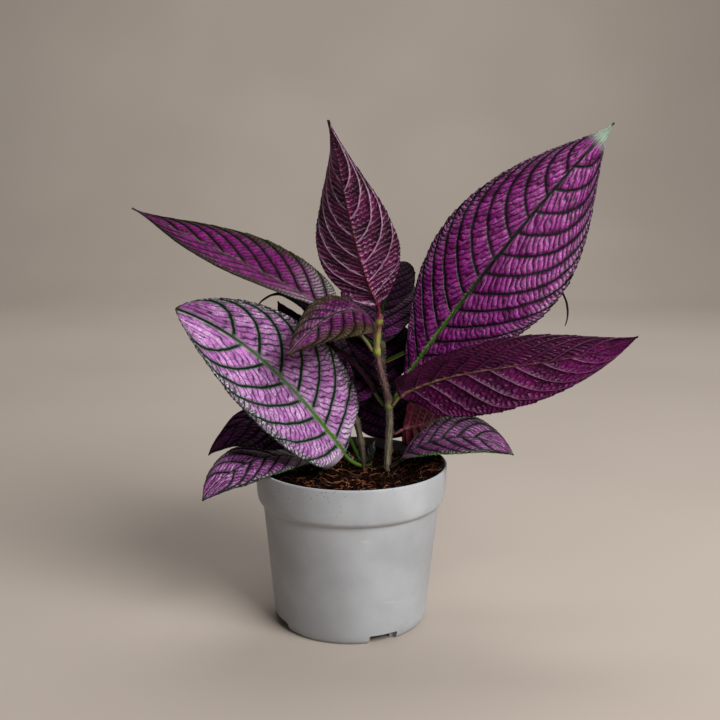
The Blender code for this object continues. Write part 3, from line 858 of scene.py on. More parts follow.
@dataclass
class Leaf:
    """One leaf as a closed skin: a grid wrapped round the petiole and the blade."""

    plan: LeafPlan
    stems: dict
    petiole_thick: float = 2.6
    petiole_half: float = 1.3
    seat_gap: float = 0.3
    joint_radius: float = 2.5
    stem_radius: float = 1.9
    joint_half: float = 4.0
    blade_thick: float = 0.6
    rib_bulge: float = 1.45
    ladder_depth: float = 0.3
    tooth_depth: float = 1.7
    tooth_pitch: float = 2.7
    petiole_rows: int = 22
    sink: float = 1.3
    rows: int = field(init=False)
    columns: int = field(init=False)

    def __post_init__(self) -> None:
        """Reads how finely the leaf is divided."""
        self.columns, self.rows = self.plan.fineness.value
        self.chance = np.random.RandomState(sum(map(ord, self.plan.name)) % 9973)

    def root(self) -> np.ndarray:
        """Where the petiole meets its shoot, a hair clear of the bark."""
        plan = self.plan
        stem = self.stems[plan.stem]
        axis = stem.at(plan.height * MM)
        if plan.height * MM >= stem.top:
            return axis + np.array([0, 0, (self.seat_gap + 0.3 * self.petiole_thick) * MM])
        near = min(abs(plan.height - joint) for joint in stem.joints)
        swell = max(0, 1 - near / self.joint_half)
        reach = self.stem_radius + swell * (self.joint_radius - self.stem_radius) + self.seat_gap
        heading = radians(plan.heading)
        return axis + reach * MM * np.array([cos(heading), sin(heading), 0])

    def path(self, steps: int = 400) -> tuple:
        """The petiole and midrib as a path.

        Args:
            steps: How many stretches it has.

        Returns:
            The distances along it, and its points, side directions and upward normals.
        """
        plan = self.plan
        petiole = plan.petiole * MM
        length = plan.length * MM
        along = np.linspace(0, petiole + length, steps + 1)
        in_blade = np.clip((along - petiole) / length, 0, 1)
        in_petiole = np.clip(along / petiole, 0, 1)
        root, base, middle, tip = plan.lifts
        lift = base * (1 - in_blade) ** 2 + 2 * middle * in_blade * (1 - in_blade) + tip * in_blade**2
        lift = np.radians(lift + (root - base) * (1 - in_petiole))
        heading = np.radians(plan.heading + plan.turn * in_blade)
        ahead = np.stack([np.cos(lift) * np.cos(heading), np.cos(lift) * np.sin(heading), np.sin(lift)], -1)
        points = np.zeros_like(ahead)
        points[1:] = np.cumsum((ahead[1:] + ahead[:-1]) / 2 * along[1], axis=0)
        side = np.stack([-np.sin(heading), np.cos(heading), np.zeros_like(heading)], -1)
        roll = np.radians(plan.rolls[0] + (plan.rolls[1] - plan.rolls[0]) * in_blade) * in_petiole
        above = np.cross(ahead, side)
        turned = roll[:, None]
        return (
            along,
            points + self.root(),
            side * np.cos(turned) + above * np.sin(turned),
            above * np.cos(turned) - side * np.sin(turned),
        )

    def across(self) -> np.ndarray:
        """Where the columns of one side lie, from the left margin at 1 to the right one at -1."""
        line = np.linspace(1, -1, self.columns + 1)
        reach = np.abs(line)
        return np.sign(line) * (0.55 * reach**1.8 + 0.45 * (1 - (1 - reach) ** 1.5))

    def wander(self, first: np.ndarray, second: np.ndarray, waves: float) -> np.ndarray:
        """A smooth wandering number between about -1 and 1 over the leaf.

        Args:
            first: One coordinate over the leaf, from 0 to 1.
            second: The other.
            waves: How many swings it makes over the leaf.

        Returns:
            The number at each place.
        """
        total = np.zeros(np.broadcast(first, second).shape)
        for _ in range(5):
            turn = self.chance.uniform(0, pi)
            rate = waves * self.chance.uniform(0.6, 1.5)
            start = self.chance.uniform(0, 2 * pi)
            total += np.sin(2 * pi * rate * (first * cos(turn) + second * sin(turn)) + start)
        return total / 3

    def lay_out(self) -> tuple[np.ndarray, np.ndarray, np.ndarray]:
        """Works out every point of the skin.

        Returns:
            The points, and the vein and place attributes, each by row and column.
        """
        plan = self.plan
        v = self.across()[None, :]
        reach = np.abs(v)
        even = np.linspace(0, 1, self.rows + 1)[:, None]
        step = even - 0.5 * np.sin(2 * pi * even) / (2 * pi)
        share = step * (0.6 + 0.4 * step)
        rake = plan.rake + 0.35 * share**2
        sweep = rake * reach + (0.7 - rake) * reach**2 + 0.3 * reach**6
        u = share + plan.sweep * np.sin(pi * share**0.75) * sweep
        half = plan.half_width * plan.outline(u) * (1 + plan.lean * np.sign(v))
        fade = np.clip(6.4 * share * (1 - share), 0, 1)
        margin_run = plan.length * u[:, [0, -1]]
        left = v > 0
        run = np.where(left, margin_run[:, :1], margin_run[:, 1:])
        hand = np.where(left, 0.16, -0.16)
        phase = step * plan.ribs + hand + 0.05 * self.wander(u, v + 0 * u, 4) * reach
        last = plan.ribs - 1.45
        phase = np.minimum(phase, last)
        across_panel = np.clip(2 * ping(phase), 0, 1)
        puff = np.sqrt(across_panel * (2 - across_panel))
        tooth = self.tooth_depth * ((run / self.tooth_pitch) % 1) * fade
        half = half - (tooth - 0.8 * plan.puff * (puff - 0.6)) * np.clip((reach - 0.9) / 0.1, 0, 1) ** 2
        half = half + self.petiole_half * (1 - share) * (1 - 0.7 * share)
        half = np.where(share < 1, np.maximum(half, plan.blunt), 0)
        bend = np.radians(plan.fold) + np.radians(plan.curl) * reach / 2
        along, points, sides, aboves = self.path()
        distance = (plan.petiole + u * plan.length) * MM
        middle, side, above = (
            np.stack([np.interp(distance, along, axis) for axis in rows.T], -1)
            for rows in (points, sides, aboves)
        )
        waver = self.wander(u, v * 0.3 + 0 * u, 3) * 0.5 * reach * fade
        sideways = half * v * np.cos(bend)
        rise = half * reach * np.sin(bend) + waver
        smooth_skin = middle / MM + side * sideways[..., None] + above * rise[..., None]

        rib_way = np.gradient(smooth_skin, step[:, 0], axis=0)
        vein_way = np.gradient(smooth_skin, -v[0], axis=1)
        vein_length = np.maximum(np.linalg.norm(vein_way, axis=-1), 1e-3)
        area = np.linalg.norm(np.cross(rib_way, vein_way), axis=-1)
        spacing = np.clip(area / vein_length / plan.ribs, 0.05, 40)
        hops = np.linalg.norm(np.diff(smooth_skin, axis=1), axis=-1)
        run_across = np.concatenate([np.zeros((len(hops), 1)), np.cumsum(hops, axis=1)], axis=1)
        centre = self.columns // 2
        from_rib = np.abs(run_across - run_across[:, centre:centre + 1])
        full = np.where(left, from_rib[:, :1], from_rib[:, -1:])
        from_edge = np.maximum(full - from_rib, 0)

        panel = np.floor(phase).astype(int)
        slant = np.sum(rib_way * vein_way, axis=-1) / vein_length * -np.sign(v)
        starts = self.chance.uniform(0, 7, (2, plan.ribs + 3))
        start = np.where(left, starts[0][panel + 1], starts[1][panel + 1])
        crossing = from_rib + 0.8 * slant * (phase - panel - 0.5) / plan.ribs
        level = u * plan.length - 0.25 * from_rib
        ladder = (crossing + plan.level * (level - crossing)) / plan.pitch + start
        ladder = ladder + 0.22 * self.wander(u, v + 0 * u, 9)
        to_vein = ping(phase) * spacing
        cell = np.clip(2 * ping(ladder), 0, 1)
        cell_puff = (1 - (1 - cell) ** 3) * np.clip(to_vein / 1.2, 0, 1)
        depth = np.minimum(plan.puff, 0.07 * spacing)
        zone = np.clip(reach / 0.1, 0, 1) * (1 - 0.6 * smooth((reach - 0.8) / 0.2)) * fade
        relief = (2 * depth * (puff - 0.6) + self.ladder_depth * (cell_puff - 0.5)) * zone

        edge_round = np.sqrt(np.clip(1 - reach**30, 0, 1))
        groove = 0.35 * np.exp(-((from_rib / 0.7) ** 2)) * (1 - share) * fade
        rib_depth = self.rib_bulge * (1 - share) ** 0.8
        bulge = rib_depth * np.exp(-((from_rib / (0.65 + 0.5 * (1 - share))) ** 2))
        ridge = 0.4 * np.exp(-((to_vein / 0.5) ** 2)) * np.clip(reach / 0.05, 0, 1)
        ridge = ridge * (1 - smooth((reach - 0.7) / 0.3)) * fade
        thick = self.blade_thick * edge_round
        upper = rise + relief - groove
        lower = rise + relief - thick - (bulge + ridge) * edge_round
        seam_depth = 0.5 * self.blade_thick
        seam = (reach >= 1) | (share >= 1)
        upper = np.where(seam, rise - seam_depth, upper - seam_depth * (1 - edge_round))
        lower = np.where(seam, rise - seam_depth, lower - seam_depth * (1 - edge_round))

        root_share = smooth(1 - step / 0.05)
        oval = np.sqrt(np.clip(1 - v**2, 0, 1))
        channel = 0.4 * np.exp(-((v / 0.4) ** 2))
        oval_upper = -0.5 * self.petiole_thick + 0.48 * self.petiole_thick * oval - channel
        oval_lower = -0.5 * self.petiole_thick - 0.48 * self.petiole_thick * oval
        upper = upper * (1 - root_share) + (oval_upper + 0 * upper) * root_share
        lower = lower * (1 - root_share) + (oval_lower + 0 * lower) * root_share

        blade = np.concatenate([
            middle + (side * sideways[..., None] + above * upper[..., None]) * MM,
            (middle + (side * sideways[..., None] + above * lower[..., None]) * MM)[:, -2::-1],
        ], axis=1)
        stalk = self.lay_out_petiole(v[0], oval_upper[0], oval_lower[0])
        vein = np.stack([phase, ladder, spacing], -1)
        place = np.stack([u, from_rib, from_edge], -1)
        vein = np.concatenate([vein, vein[:, -2::-1]], axis=1)
        place = np.concatenate([place, place[:, -2::-1]], axis=1)
        stalk_vein = np.repeat(np.array([[[0.5, 0.5, 20.0]]]), len(stalk), axis=0)
        stalk_vein = np.repeat(stalk_vein, 2 * self.columns + 1, axis=1)
        stalk_place = np.zeros_like(stalk_vein)
        stalk_place[..., 0] = -0.1
        stalk_place[..., 2] = 10
        return (
            np.concatenate([stalk, blade]),
            np.concatenate([stalk_vein, vein]),
            np.concatenate([stalk_place, place]),
        )

    def lay_out_petiole(self, v: np.ndarray, upper: np.ndarray, lower: np.ndarray) -> np.ndarray:
        """Works out the petiole's rows, from a rounded root to the last one before the blade.

        Args:
            v: The columns' places across one side.
            upper: The height of the upper side at each, in millimetres.
            lower: The height of the lower side at each.

        Returns:
            The points, by row and column.
        """
        along, points, sides, aboves = self.path()
        heading = radians(self.plan.heading)
        seated = self.plan.height * MM >= self.stems[self.plan.stem].top
        inward = np.array([0, 0, -0.5]) if seated else -np.array([cos(heading), sin(heading), 0])
        even = np.linspace(0, 1, self.petiole_rows, endpoint=False)
        rounding = np.sqrt(np.clip(1 - (1 - np.clip(even / 0.12, 0, 1)) ** 2, 0, 1))
        swell = 1 + 0.12 * np.exp(-((even / 0.3) ** 2))
        rows = []
        for share, size in zip(even, rounding * swell):
            at = share * self.plan.petiole * MM
            middle, side, above = (
                np.array([np.interp(at, along, axis) for axis in path.T])
                for path in (points, sides, aboves)
            )
            middle = middle + inward * self.sink * (1 - smooth(share / 0.6)) * MM
            level = -0.5 * self.petiole_thick
            across = np.concatenate([v, v[-2::-1]]) * self.petiole_half * size
            heights = level + (np.concatenate([upper, lower[-2::-1]]) - level) * size
            rows.append(middle + (side * across[:, None] + above * heights[:, None]) * MM)
        return np.array(rows)

    def build(self, finishes: dict) -> bpy.types.Object:
        """Makes the leaf's piece.

        Args:
            finishes: The finished materials, by look.

        Returns:
            The piece that stands for the leaf's node.
        """
        rows = self.petiole_rows + self.rows
        points, vein, place = self.lay_out()
        bm = bmesh.new()
        bmesh.ops.create_grid(bm, x_segments=2 * self.columns, y_segments=rows, size=1)
        vein_layer = bm.verts.layers.float_vector.new("vein")
        place_layer = bm.verts.layers.float_vector.new("place")
        for face in bm.faces:
            face.material_index = int(face.calc_center_median().x > 0)
        for vert in bm.verts:
            column = round((vert.co.x + 1) * self.columns)
            row = round((vert.co.y + 1) / 2 * rows)
            vert[vein_layer] = vein[row, column]
            vert[place_layer] = place[row, column]
            vert.co = points[row, column]
        bmesh.ops.remove_doubles(bm, verts=bm.verts, dist=2e-7)
        bmesh.ops.recalc_face_normals(bm, faces=bm.faces)
        pair = (finishes[self.plan.upper], finishes[self.plan.back])
        return fit_piece(bm, self.plan.name + "_blade", pair, self.plan.name)


@dataclass
class Foliage:
    """All the leaves, and the pale hairs on the ribs of the two large ones."""

    stems: dict
    haired: tuple = ("leaf_front_left", "leaf_right_tall")
    hair_count: int = 260
    hair_length: float = 1.7
    hair_radius: float = 0.05

    def build(self) -> None:
        """Builds every leaf in the order of the table."""
        finishes = {look: look.value.make() for look in (*UpperLook, *BackLook)}
        for plan in LEAVES:
            Leaf(plan, self.stems).build(finishes)
        self.build_hairs()

    def build_hairs(self) -> None:
        """Sets short pale hairs along the lower third of the large leaves' midribs."""
        bm = bmesh.new()
        chance = Random(4)
        for plan in LEAVES:
            if plan.name not in self.haired:
                continue
            along, points, sides, aboves = Leaf(plan, self.stems).path()
            for _ in range(self.hair_count):
                at = (plan.petiole * chance.uniform(0.2, 1) + plan.length * chance.random() ** 1.4 * 0.4) * MM
                middle, side, above = (
                    Vector([np.interp(at, along, axis) for axis in path.T])
                    for path in (points, sides, aboves)
                )
                hand = chance.choice((-1, 1))
                foot = middle + side * hand * chance.uniform(0.3, 1.1) * MM
                way = (side * hand * chance.uniform(0.3, 1.2) + above * chance.uniform(0.5, 1.2)).normalized()
                set_hair(bm, foot, way, self.hair_length * chance.uniform(0.6, 1.3), self.hair_radius)
        finish = HairFinish().make()
        fit_piece(bm, "leaf_rib_hairs", (finish,), None)


def set_hair(bm: bmesh.types.BMesh, foot: Vector, way: Vector, length: float, radius: float) -> None:
    """Adds one tapered hair of three sides.

    Args:
        bm: The bmesh to add to.
        foot: Where the hair grows, in metres.
        way: The direction it grows in.
        length: Its length in millimetres.
        radius: Its radius at the foot in millimetres.
    """
    turn = way.to_track_quat("Z", "Y").to_matrix().to_4x4()
    place = Matrix.Translation(foot + way * length * 0.45 * MM) @ turn
    bmesh.ops.create_cone(
        bm, cap_ends=True, segments=3, radius1=radius * MM, radius2=0.25 * radius * MM,
        depth=length * MM, matrix=place,
    )


@dataclass(frozen=True)
class HairFinish:
    """Pale, glassy plant hairs."""

    colour: Colour = paint(206, 208, 186)

    def make(self) -> bpy.types.Material:
        """Builds the hairs' material."""
        desk = NodeDesk("plant_hairs")
        shade = desk.band(desk.noise(900, 2), 0.3, 0.7)
        colour = desk.mix(shade, self.colour, paint(160, 150, 120))
        return desk.finish(Base_Color=colour, Roughness=0.4)


@dataclass(frozen=True)
class BarkFinish:
    """A young shoot: brown-grey below, flushed in the middle, green above, and wine at its tip."""

    name: str = "stem_bark_front"
    low: Colour = paint(118, 110, 88)
    low_dark: Colour = paint(56, 46, 38)
    blush: Colour = paint(110, 78, 74)
    blush_dark: Colour = paint(52, 26, 32)
    high: Colour = paint(130, 126, 54)
    joint: Colour = paint(132, 146, 44)
    tip: Colour = paint(92, 34, 48)

    def make(self) -> bpy.types.Material:
        """Builds the bark's material.

        Returns:
            The material, which reads the bark attribute of a shoot.
        """
        desk = NodeDesk(self.name)
        joint, share, _ = desk.attribute("bark")
        lines = desk.noise(1, 4, 0.7, desk.stretched((1500, 1500, 160)))
        mottle = desk.noise(240, 4, 0.7)
        low = desk.mix(desk.band(lines, 0.35, 0.6), self.low_dark, self.low)
        middle = desk.mix(desk.band(lines, 0.4, 0.6), self.blush_dark, self.blush)
        high = desk.mix(desk.band(lines, 0.3, 0.55), self.blush, self.high)
        wavy = desk.math("MULTIPLY_ADD", mottle, 0.06, share)
        colour = desk.mix(desk.band(wavy, 0.43, 0.48), low, middle)
        colour = desk.mix(desk.band(wavy, 0.74, 0.79), colour, high)
        colour = desk.mix(desk.band(wavy, 0.88, 0.96), colour, self.tip)
        colour = desk.mix(desk.math("MULTIPLY", desk.band(joint, 0.4, 1.0), 0.55), colour, self.joint)
        scar = desk.math("MULTIPLY", desk.band(desk.noise(520, 2), 0.58, 0.68), 0.5)
        colour = desk.mix(scar, colour, self.low_dark)
        desk.bump(desk.math("ADD", lines, mottle), 0.3 * MM, 0.7)
        rough = desk.math("MULTIPLY_ADD", mottle, 0.3, 0.42)
        return desk.finish(Base_Color=colour, Roughness=rough, Specular_IOR_Level=0.3)


@dataclass
class Shoot:
    """A stem: a soft-cornered tube with swollen joints, ridges and hairs, closed at both ends."""

    plan: StemPlan
    radius: float = 1.9
    joint_radius: float = 2.5
    joint_half: float = 4.0
    buried: float = 72.0
    around: int = 28
    rows_per_mm: float = 1.6
    hair_gap: float = 0.18

    def width(self, height: float) -> tuple[float, float]:
        """The shoot's radius in millimetres at a height in metres, and how near a joint it is."""
        near = min(abs(height / MM - joint) for joint in self.plan.joints)
        swell = max(0, 1 - near / self.joint_half)
        swell = swell * swell * (3 - 2 * swell)
        return self.radius + swell * (self.joint_radius - self.radius), swell

    def build(self, bark: bpy.types.Material) -> None:
        """Makes the shoot's piece.

        Args:
            bark: The bark's finish.
        """
        plan = self.plan
        rows = int((plan.top / MM - self.buried) * self.rows_per_mm)
        bm = bmesh.new()
        bmesh.ops.create_grid(bm, x_segments=self.around, y_segments=rows, size=1)
        layer = bm.verts.layers.float_vector.new("bark")
        foot = plan.at(0)
        for vert in bm.verts:
            row = round((vert.co.y + 1) / 2 * rows)
            turn = (vert.co.x + 1) * pi
            height = (self.buried + (plan.top / MM - self.buried) * row / rows) * MM
            centre = plan.at(height) if height > foot[2] else np.array([foot[0], foot[1], height])
            radius, swell = self.width(height)
            ridged = radius * (1 + 0.07 * cos(4 * turn) * (1 - swell) - 0.03 * (1 + cos(12 * turn)))
            ends = min(row, rows - row)
            ridged *= (0, 0.72, 0.93)[ends] if ends < 3 else 1
            vert[layer] = (swell, (height / MM - 98) / 97, turn)
            vert.co = Vector(centre) + Vector((cos(turn), sin(turn), 0)) * ridged * MM
        bmesh.ops.remove_doubles(bm, verts=bm.verts, dist=2e-7)
        bmesh.ops.recalc_face_normals(bm, faces=bm.faces)
        fit_piece(bm, plan.name + "_shoot", (bark,), plan.name)

    def add_hairs(self, bm: bmesh.types.BMesh, chance: Random) -> None:
        """Adds the shoot's hairs to a shared bmesh.

        Args:
            bm: The bmesh to add to.
            chance: Where the hairs' random places come from.
        """
        low = 99.0
        count = int((self.plan.top / MM - low) / self.hair_gap)
        for _ in range(count):
            height = chance.uniform(low, self.plan.top / MM - 1) * MM
            turn = chance.uniform(0, 2 * pi)
            out = Vector((cos(turn), sin(turn), chance.uniform(-0.2, 0.5)))
            radius, _ = self.width(height)
            foot = Vector(self.plan.at(height)) + Vector((out.x, out.y, 0)) * (radius - 0.1) * MM
            set_hair(bm, foot, out.normalized(), chance.uniform(0.6, 1.3), 0.045)


@dataclass(frozen=True)
class PotFinish:
    """Moulded grey plastic with scuffs, dust and a little soil dirt near the rim."""

    grey: Colour = paint(154, 156, 159)
    pale: Colour = paint(174, 176, 179)
    dirt: Colour = paint(84, 66, 50)

    def make(self) -> bpy.types.Material:
        """Builds the plastic's material."""
        desk = NodeDesk("pot_grey_plastic")
        _, _, height = desk.split(desk.object_place)
        cloud = desk.noise(26, 3)
        fine = desk.noise(700, 3, 0.6)
        rings = desk.noise(1, 2, 0.5, desk.stretched((2, 2, 900)))
        scuffs = desk.noise(1, 3, 0.6, desk.stretched((60, 60, 420)))
        scratch = desk.math("MULTIPLY", desk.band(scuffs, 0.66, 0.72), desk.band(cloud, 0.45, 0.65))
        colour = desk.mix(desk.band(cloud, 0.3, 0.75), self.grey, self.pale)
        colour = desk.mix(desk.math("MULTIPLY", scratch, 0.5), colour, paint(196, 195, 192))
        specks = desk.band(desk.cells(420, "F1"), 0.2, 0.12)
        near_rim = desk.band(height, 0.06, 0.1)
        dirt = desk.math("MULTIPLY", specks, desk.band(desk.noise(40, 2), 0.5, 0.64))
        dirt = desk.math("MULTIPLY", dirt, desk.math("MULTIPLY_ADD", near_rim, 0.5, 0.2))
        colour = desk.mix(dirt, colour, self.dirt)
        height_map = desk.math("MULTIPLY_ADD", fine, 0.35, desk.math("MULTIPLY", rings, 0.25))
        height_map = desk.math("ADD", height_map, desk.math("MULTIPLY", scratch, 0.15))
        desk.bump(height_map, 0.12 * MM, 0.6)
        rough = desk.math("MULTIPLY_ADD", cloud, 0.2, 0.4)
        rough = desk.math("MULTIPLY_ADD", scratch, 0.15, rough)
        return desk.finish(Base_Color=colour, Roughness=rough, Specular_IOR_Level=0.45)


@dataclass
class Pot:
    """The nursery pot: a thin tapered wall, a deep rim band, a foot ring with notches, drain holes."""

    height: float = 101.0
    rim_radius: float = 60.0
    band_height: float = 24.0
    band_foot_radius: float = 58.2
    body_top_radius: float = 55.3
    body_foot_radius: float = 48.6
    foot_radius: float = 46.0
    wall: float = 1.3
    foot_ring: float = 3.0
    disc_radius: float = 29.0
    channel: float = 5.0
    notch_width: float = 19.0
    notch_height: float = 5.5
    notch_headings: tuple = (-65, 25, 115, 205)
    drain_count: int = 6
    drain_radius: float = 4.0
    drain_circle: float = 36.5
    steps: int = 168
    softness: float = 0.35

    def inner_radius(self, height: float) -> float:
        """The pot's inside radius at a height above its floor, both in millimetres."""
        band_foot = self.height - self.band_height
        if height > band_foot:
            share = (height - band_foot) / self.band_height
            return self.body_top_radius + share * (self.rim_radius - self.body_top_radius) - self.wall
        share = height / band_foot
        return self.body_foot_radius + share * (self.body_top_radius - self.body_foot_radius) - self.wall

    def profile(self) -> list[tuple[float, float]]:
        """The wall's outline as (radius, height) points in millimetres, from axis to axis."""
        band_foot = self.height - self.band_height
        floor = self.channel + self.wall
        inside = [
            (0, self.wall),
            (self.disc_radius, self.wall),
            (self.disc_radius + 2, floor),
            (self.inner_radius(floor), floor),
            (self.inner_radius(band_foot), band_foot),
            (self.rim_radius - self.wall, self.height),
        ]
        outside = [
            (self.rim_radius - 0.1, self.height),
            (self.rim_radius, self.height - 1.6),
            (self.band_foot_radius + 1.0, band_foot + 7),
            (self.band_foot_radius + 0.25, band_foot + 2.9),
            (self.band_foot_radius - 0.6, band_foot + 1.3),
            (self.body_top_radius + 0.7, band_foot + 0.2),
            (self.body_top_radius, band_foot - 0.8),
            (self.body_foot_radius, 6),
            (self.foot_radius + 1.4, 2),
            (self.foot_radius, 0),
        ]
        underside = [
            (self.foot_radius - self.foot_ring, 0),
            (self.foot_radius - self.foot_ring, self.channel),
            (self.disc_radius + 2, self.channel),
            (self.disc_radius, 0),
            (0, 0),
        ]
        return inside + outside + underside

    def cutters(self) -> list[bpy.types.Object]:
        """The blocks and rods that cut the notches and the drain holes."""
        made = []
        depth = 3 * self.foot_ring
        for heading in self.notch_headings:
            bm = bmesh.new()
            bmesh.ops.create_cube(bm, size=1)
            size = Vector((depth, self.notch_width, 2 * self.notch_height)) * MM
            bmesh.ops.scale(bm, verts=bm.verts, vec=size)
            upright = [edge for edge in bm.edges if abs(edge.verts[0].co.y - edge.verts[1].co.y) < 1e-6
                       and abs(edge.verts[0].co.z - edge.verts[1].co.z) < 1e-6]
            bmesh.ops.bevel(bm, geom=upright, offset=1.4 * MM, offset_type="OFFSET", segments=4, profile=0.5,
                            affect="EDGES", material=-1, clamp_overlap=True)
            reach = self.foot_radius - self.foot_ring / 2 + 0.5 * depth - 2
            bmesh.ops.translate(bm, verts=bm.verts, vec=(reach * MM, 0, 0))
            way = Matrix.Rotation(radians(heading), 3, "Z")
            bmesh.ops.rotate(bm, verts=bm.verts, cent=(0, 0, 0), matrix=way)
            made.append(self.as_cutter(bm))
        for index in range(self.drain_count):
            turn = 2 * pi * (index + 0.3) / self.drain_count
            bm = bmesh.new()
            spot = Vector((cos(turn), sin(turn), 0)) * self.drain_circle * MM + Vector((0, 0, 6 * MM))
            radius = self.drain_radius * MM
            bmesh.ops.create_cone(bm, cap_ends=True, segments=28, radius1=radius, radius2=radius,
                                  depth=8 * MM, matrix=Matrix.Translation(spot))
            made.append(self.as_cutter(bm))
        return made

    def as_cutter(self, bm: bmesh.types.BMesh) -> bpy.types.Object:
        """Ends a bmesh as a loose object that only a Boolean uses."""
        mesh = bpy.data.meshes.new("cutter")
        bm.to_mesh(mesh)
        bm.free()
        cutter = bpy.data.objects.new("cutter", mesh)
        bpy.context.scene.collection.objects.link(cutter)
        return cutter

    def build(self) -> None:
        """Makes the pot's piece."""
        bm = bmesh.new()
        points = [bm.verts.new((radius * MM, 0, height * MM)) for radius, height in self.profile()]
        edges = [bm.edges.new(pair) for pair in zip(points, points[1:])]
        bmesh.ops.spin(bm, geom=points + edges, cent=(0, 0, 0), axis=(0, 0, 1), angle=2 * pi,
                       steps=self.steps, use_merge=True)
        bmesh.ops.remove_doubles(bm, verts=bm.verts, dist=1e-6)
        bmesh.ops.recalc_face_normals(bm, faces=bm.faces)
        corners = [edge for edge in bm.edges if edge.calc_face_angle(0) > radians(12)
                   and abs(edge.verts[0].co.z - edge.verts[1].co.z) < 1e-6
                   and edge.verts[0].co.xy.length > 5 * MM]
        bmesh.ops.bevel(bm, geom=corners, offset=self.softness * MM, offset_type="OFFSET", segments=2,
                        profile=0.5, affect="EDGES", material=-1, clamp_overlap=True)
        draft = self.as_cutter(bm)
        tools = self.cutters()
        for tool in tools:
            boolean = draft.modifiers.new("cut", "BOOLEAN")
            boolean.operation = "DIFFERENCE"
            boolean.solver = "EXACT"
            boolean.object = tool
        bpy.context.view_layer.update()
        finished = draft.evaluated_get(bpy.context.evaluated_depsgraph_get())
        cut = bmesh.new()
        cut.from_mesh(finished.to_mesh())
        finished.to_mesh_clear()
        bmesh.ops.triangulate(cut, faces=[face for face in cut.faces if len(face.verts) > 4])
        for spare in [draft, *tools]:
            bpy.data.meshes.remove(spare.data)
        piece = fit_piece(cut, "pot_shell", (PotFinish().make(),), "pot")
        piece.data.set_sharp_from_angle(angle=radians(38))


@dataclass(frozen=True)
class SoilFinish:
    """Dark peat with brown fibre in it."""

    dark: Colour = paint(6, 3, 1)
    brown: Colour = paint(40, 18, 8)
    pale: Colour = paint(120, 60, 30)

    def make(self, name: str, fibre: float) -> bpy.types.Material:
        """Builds the soil's material.

        Args:
            name: The material's name.
            fibre: How much of the surface is pale fibre.

        Returns:
            The material.
        """
        desk = NodeDesk(name)
        clod = desk.noise(260, 5, 0.75)
        grit = desk.cells(900, "F1")
        colour = desk.mix(desk.band(clod, 0.42, 0.74), self.dark, self.brown)
        strands = desk.noise(1, 3, 0.6, desk.stretched((1400, 260, 700)))
        colour = desk.mix(desk.math("MULTIPLY", desk.band(strands, 0.6, 0.7), fibre), colour, self.pale)
        colour = desk.mix(desk.math("MULTIPLY", desk.band(grit, 0.4, 0.1), 0.55), colour, self.dark)
        desk.bump(desk.math("MULTIPLY_ADD", grit, -0.6, clod), 0.8 * MM, 0.9)
        return desk.finish(Base_Color=colour, Roughness=0.95, Specular_IOR_Level=0.04)


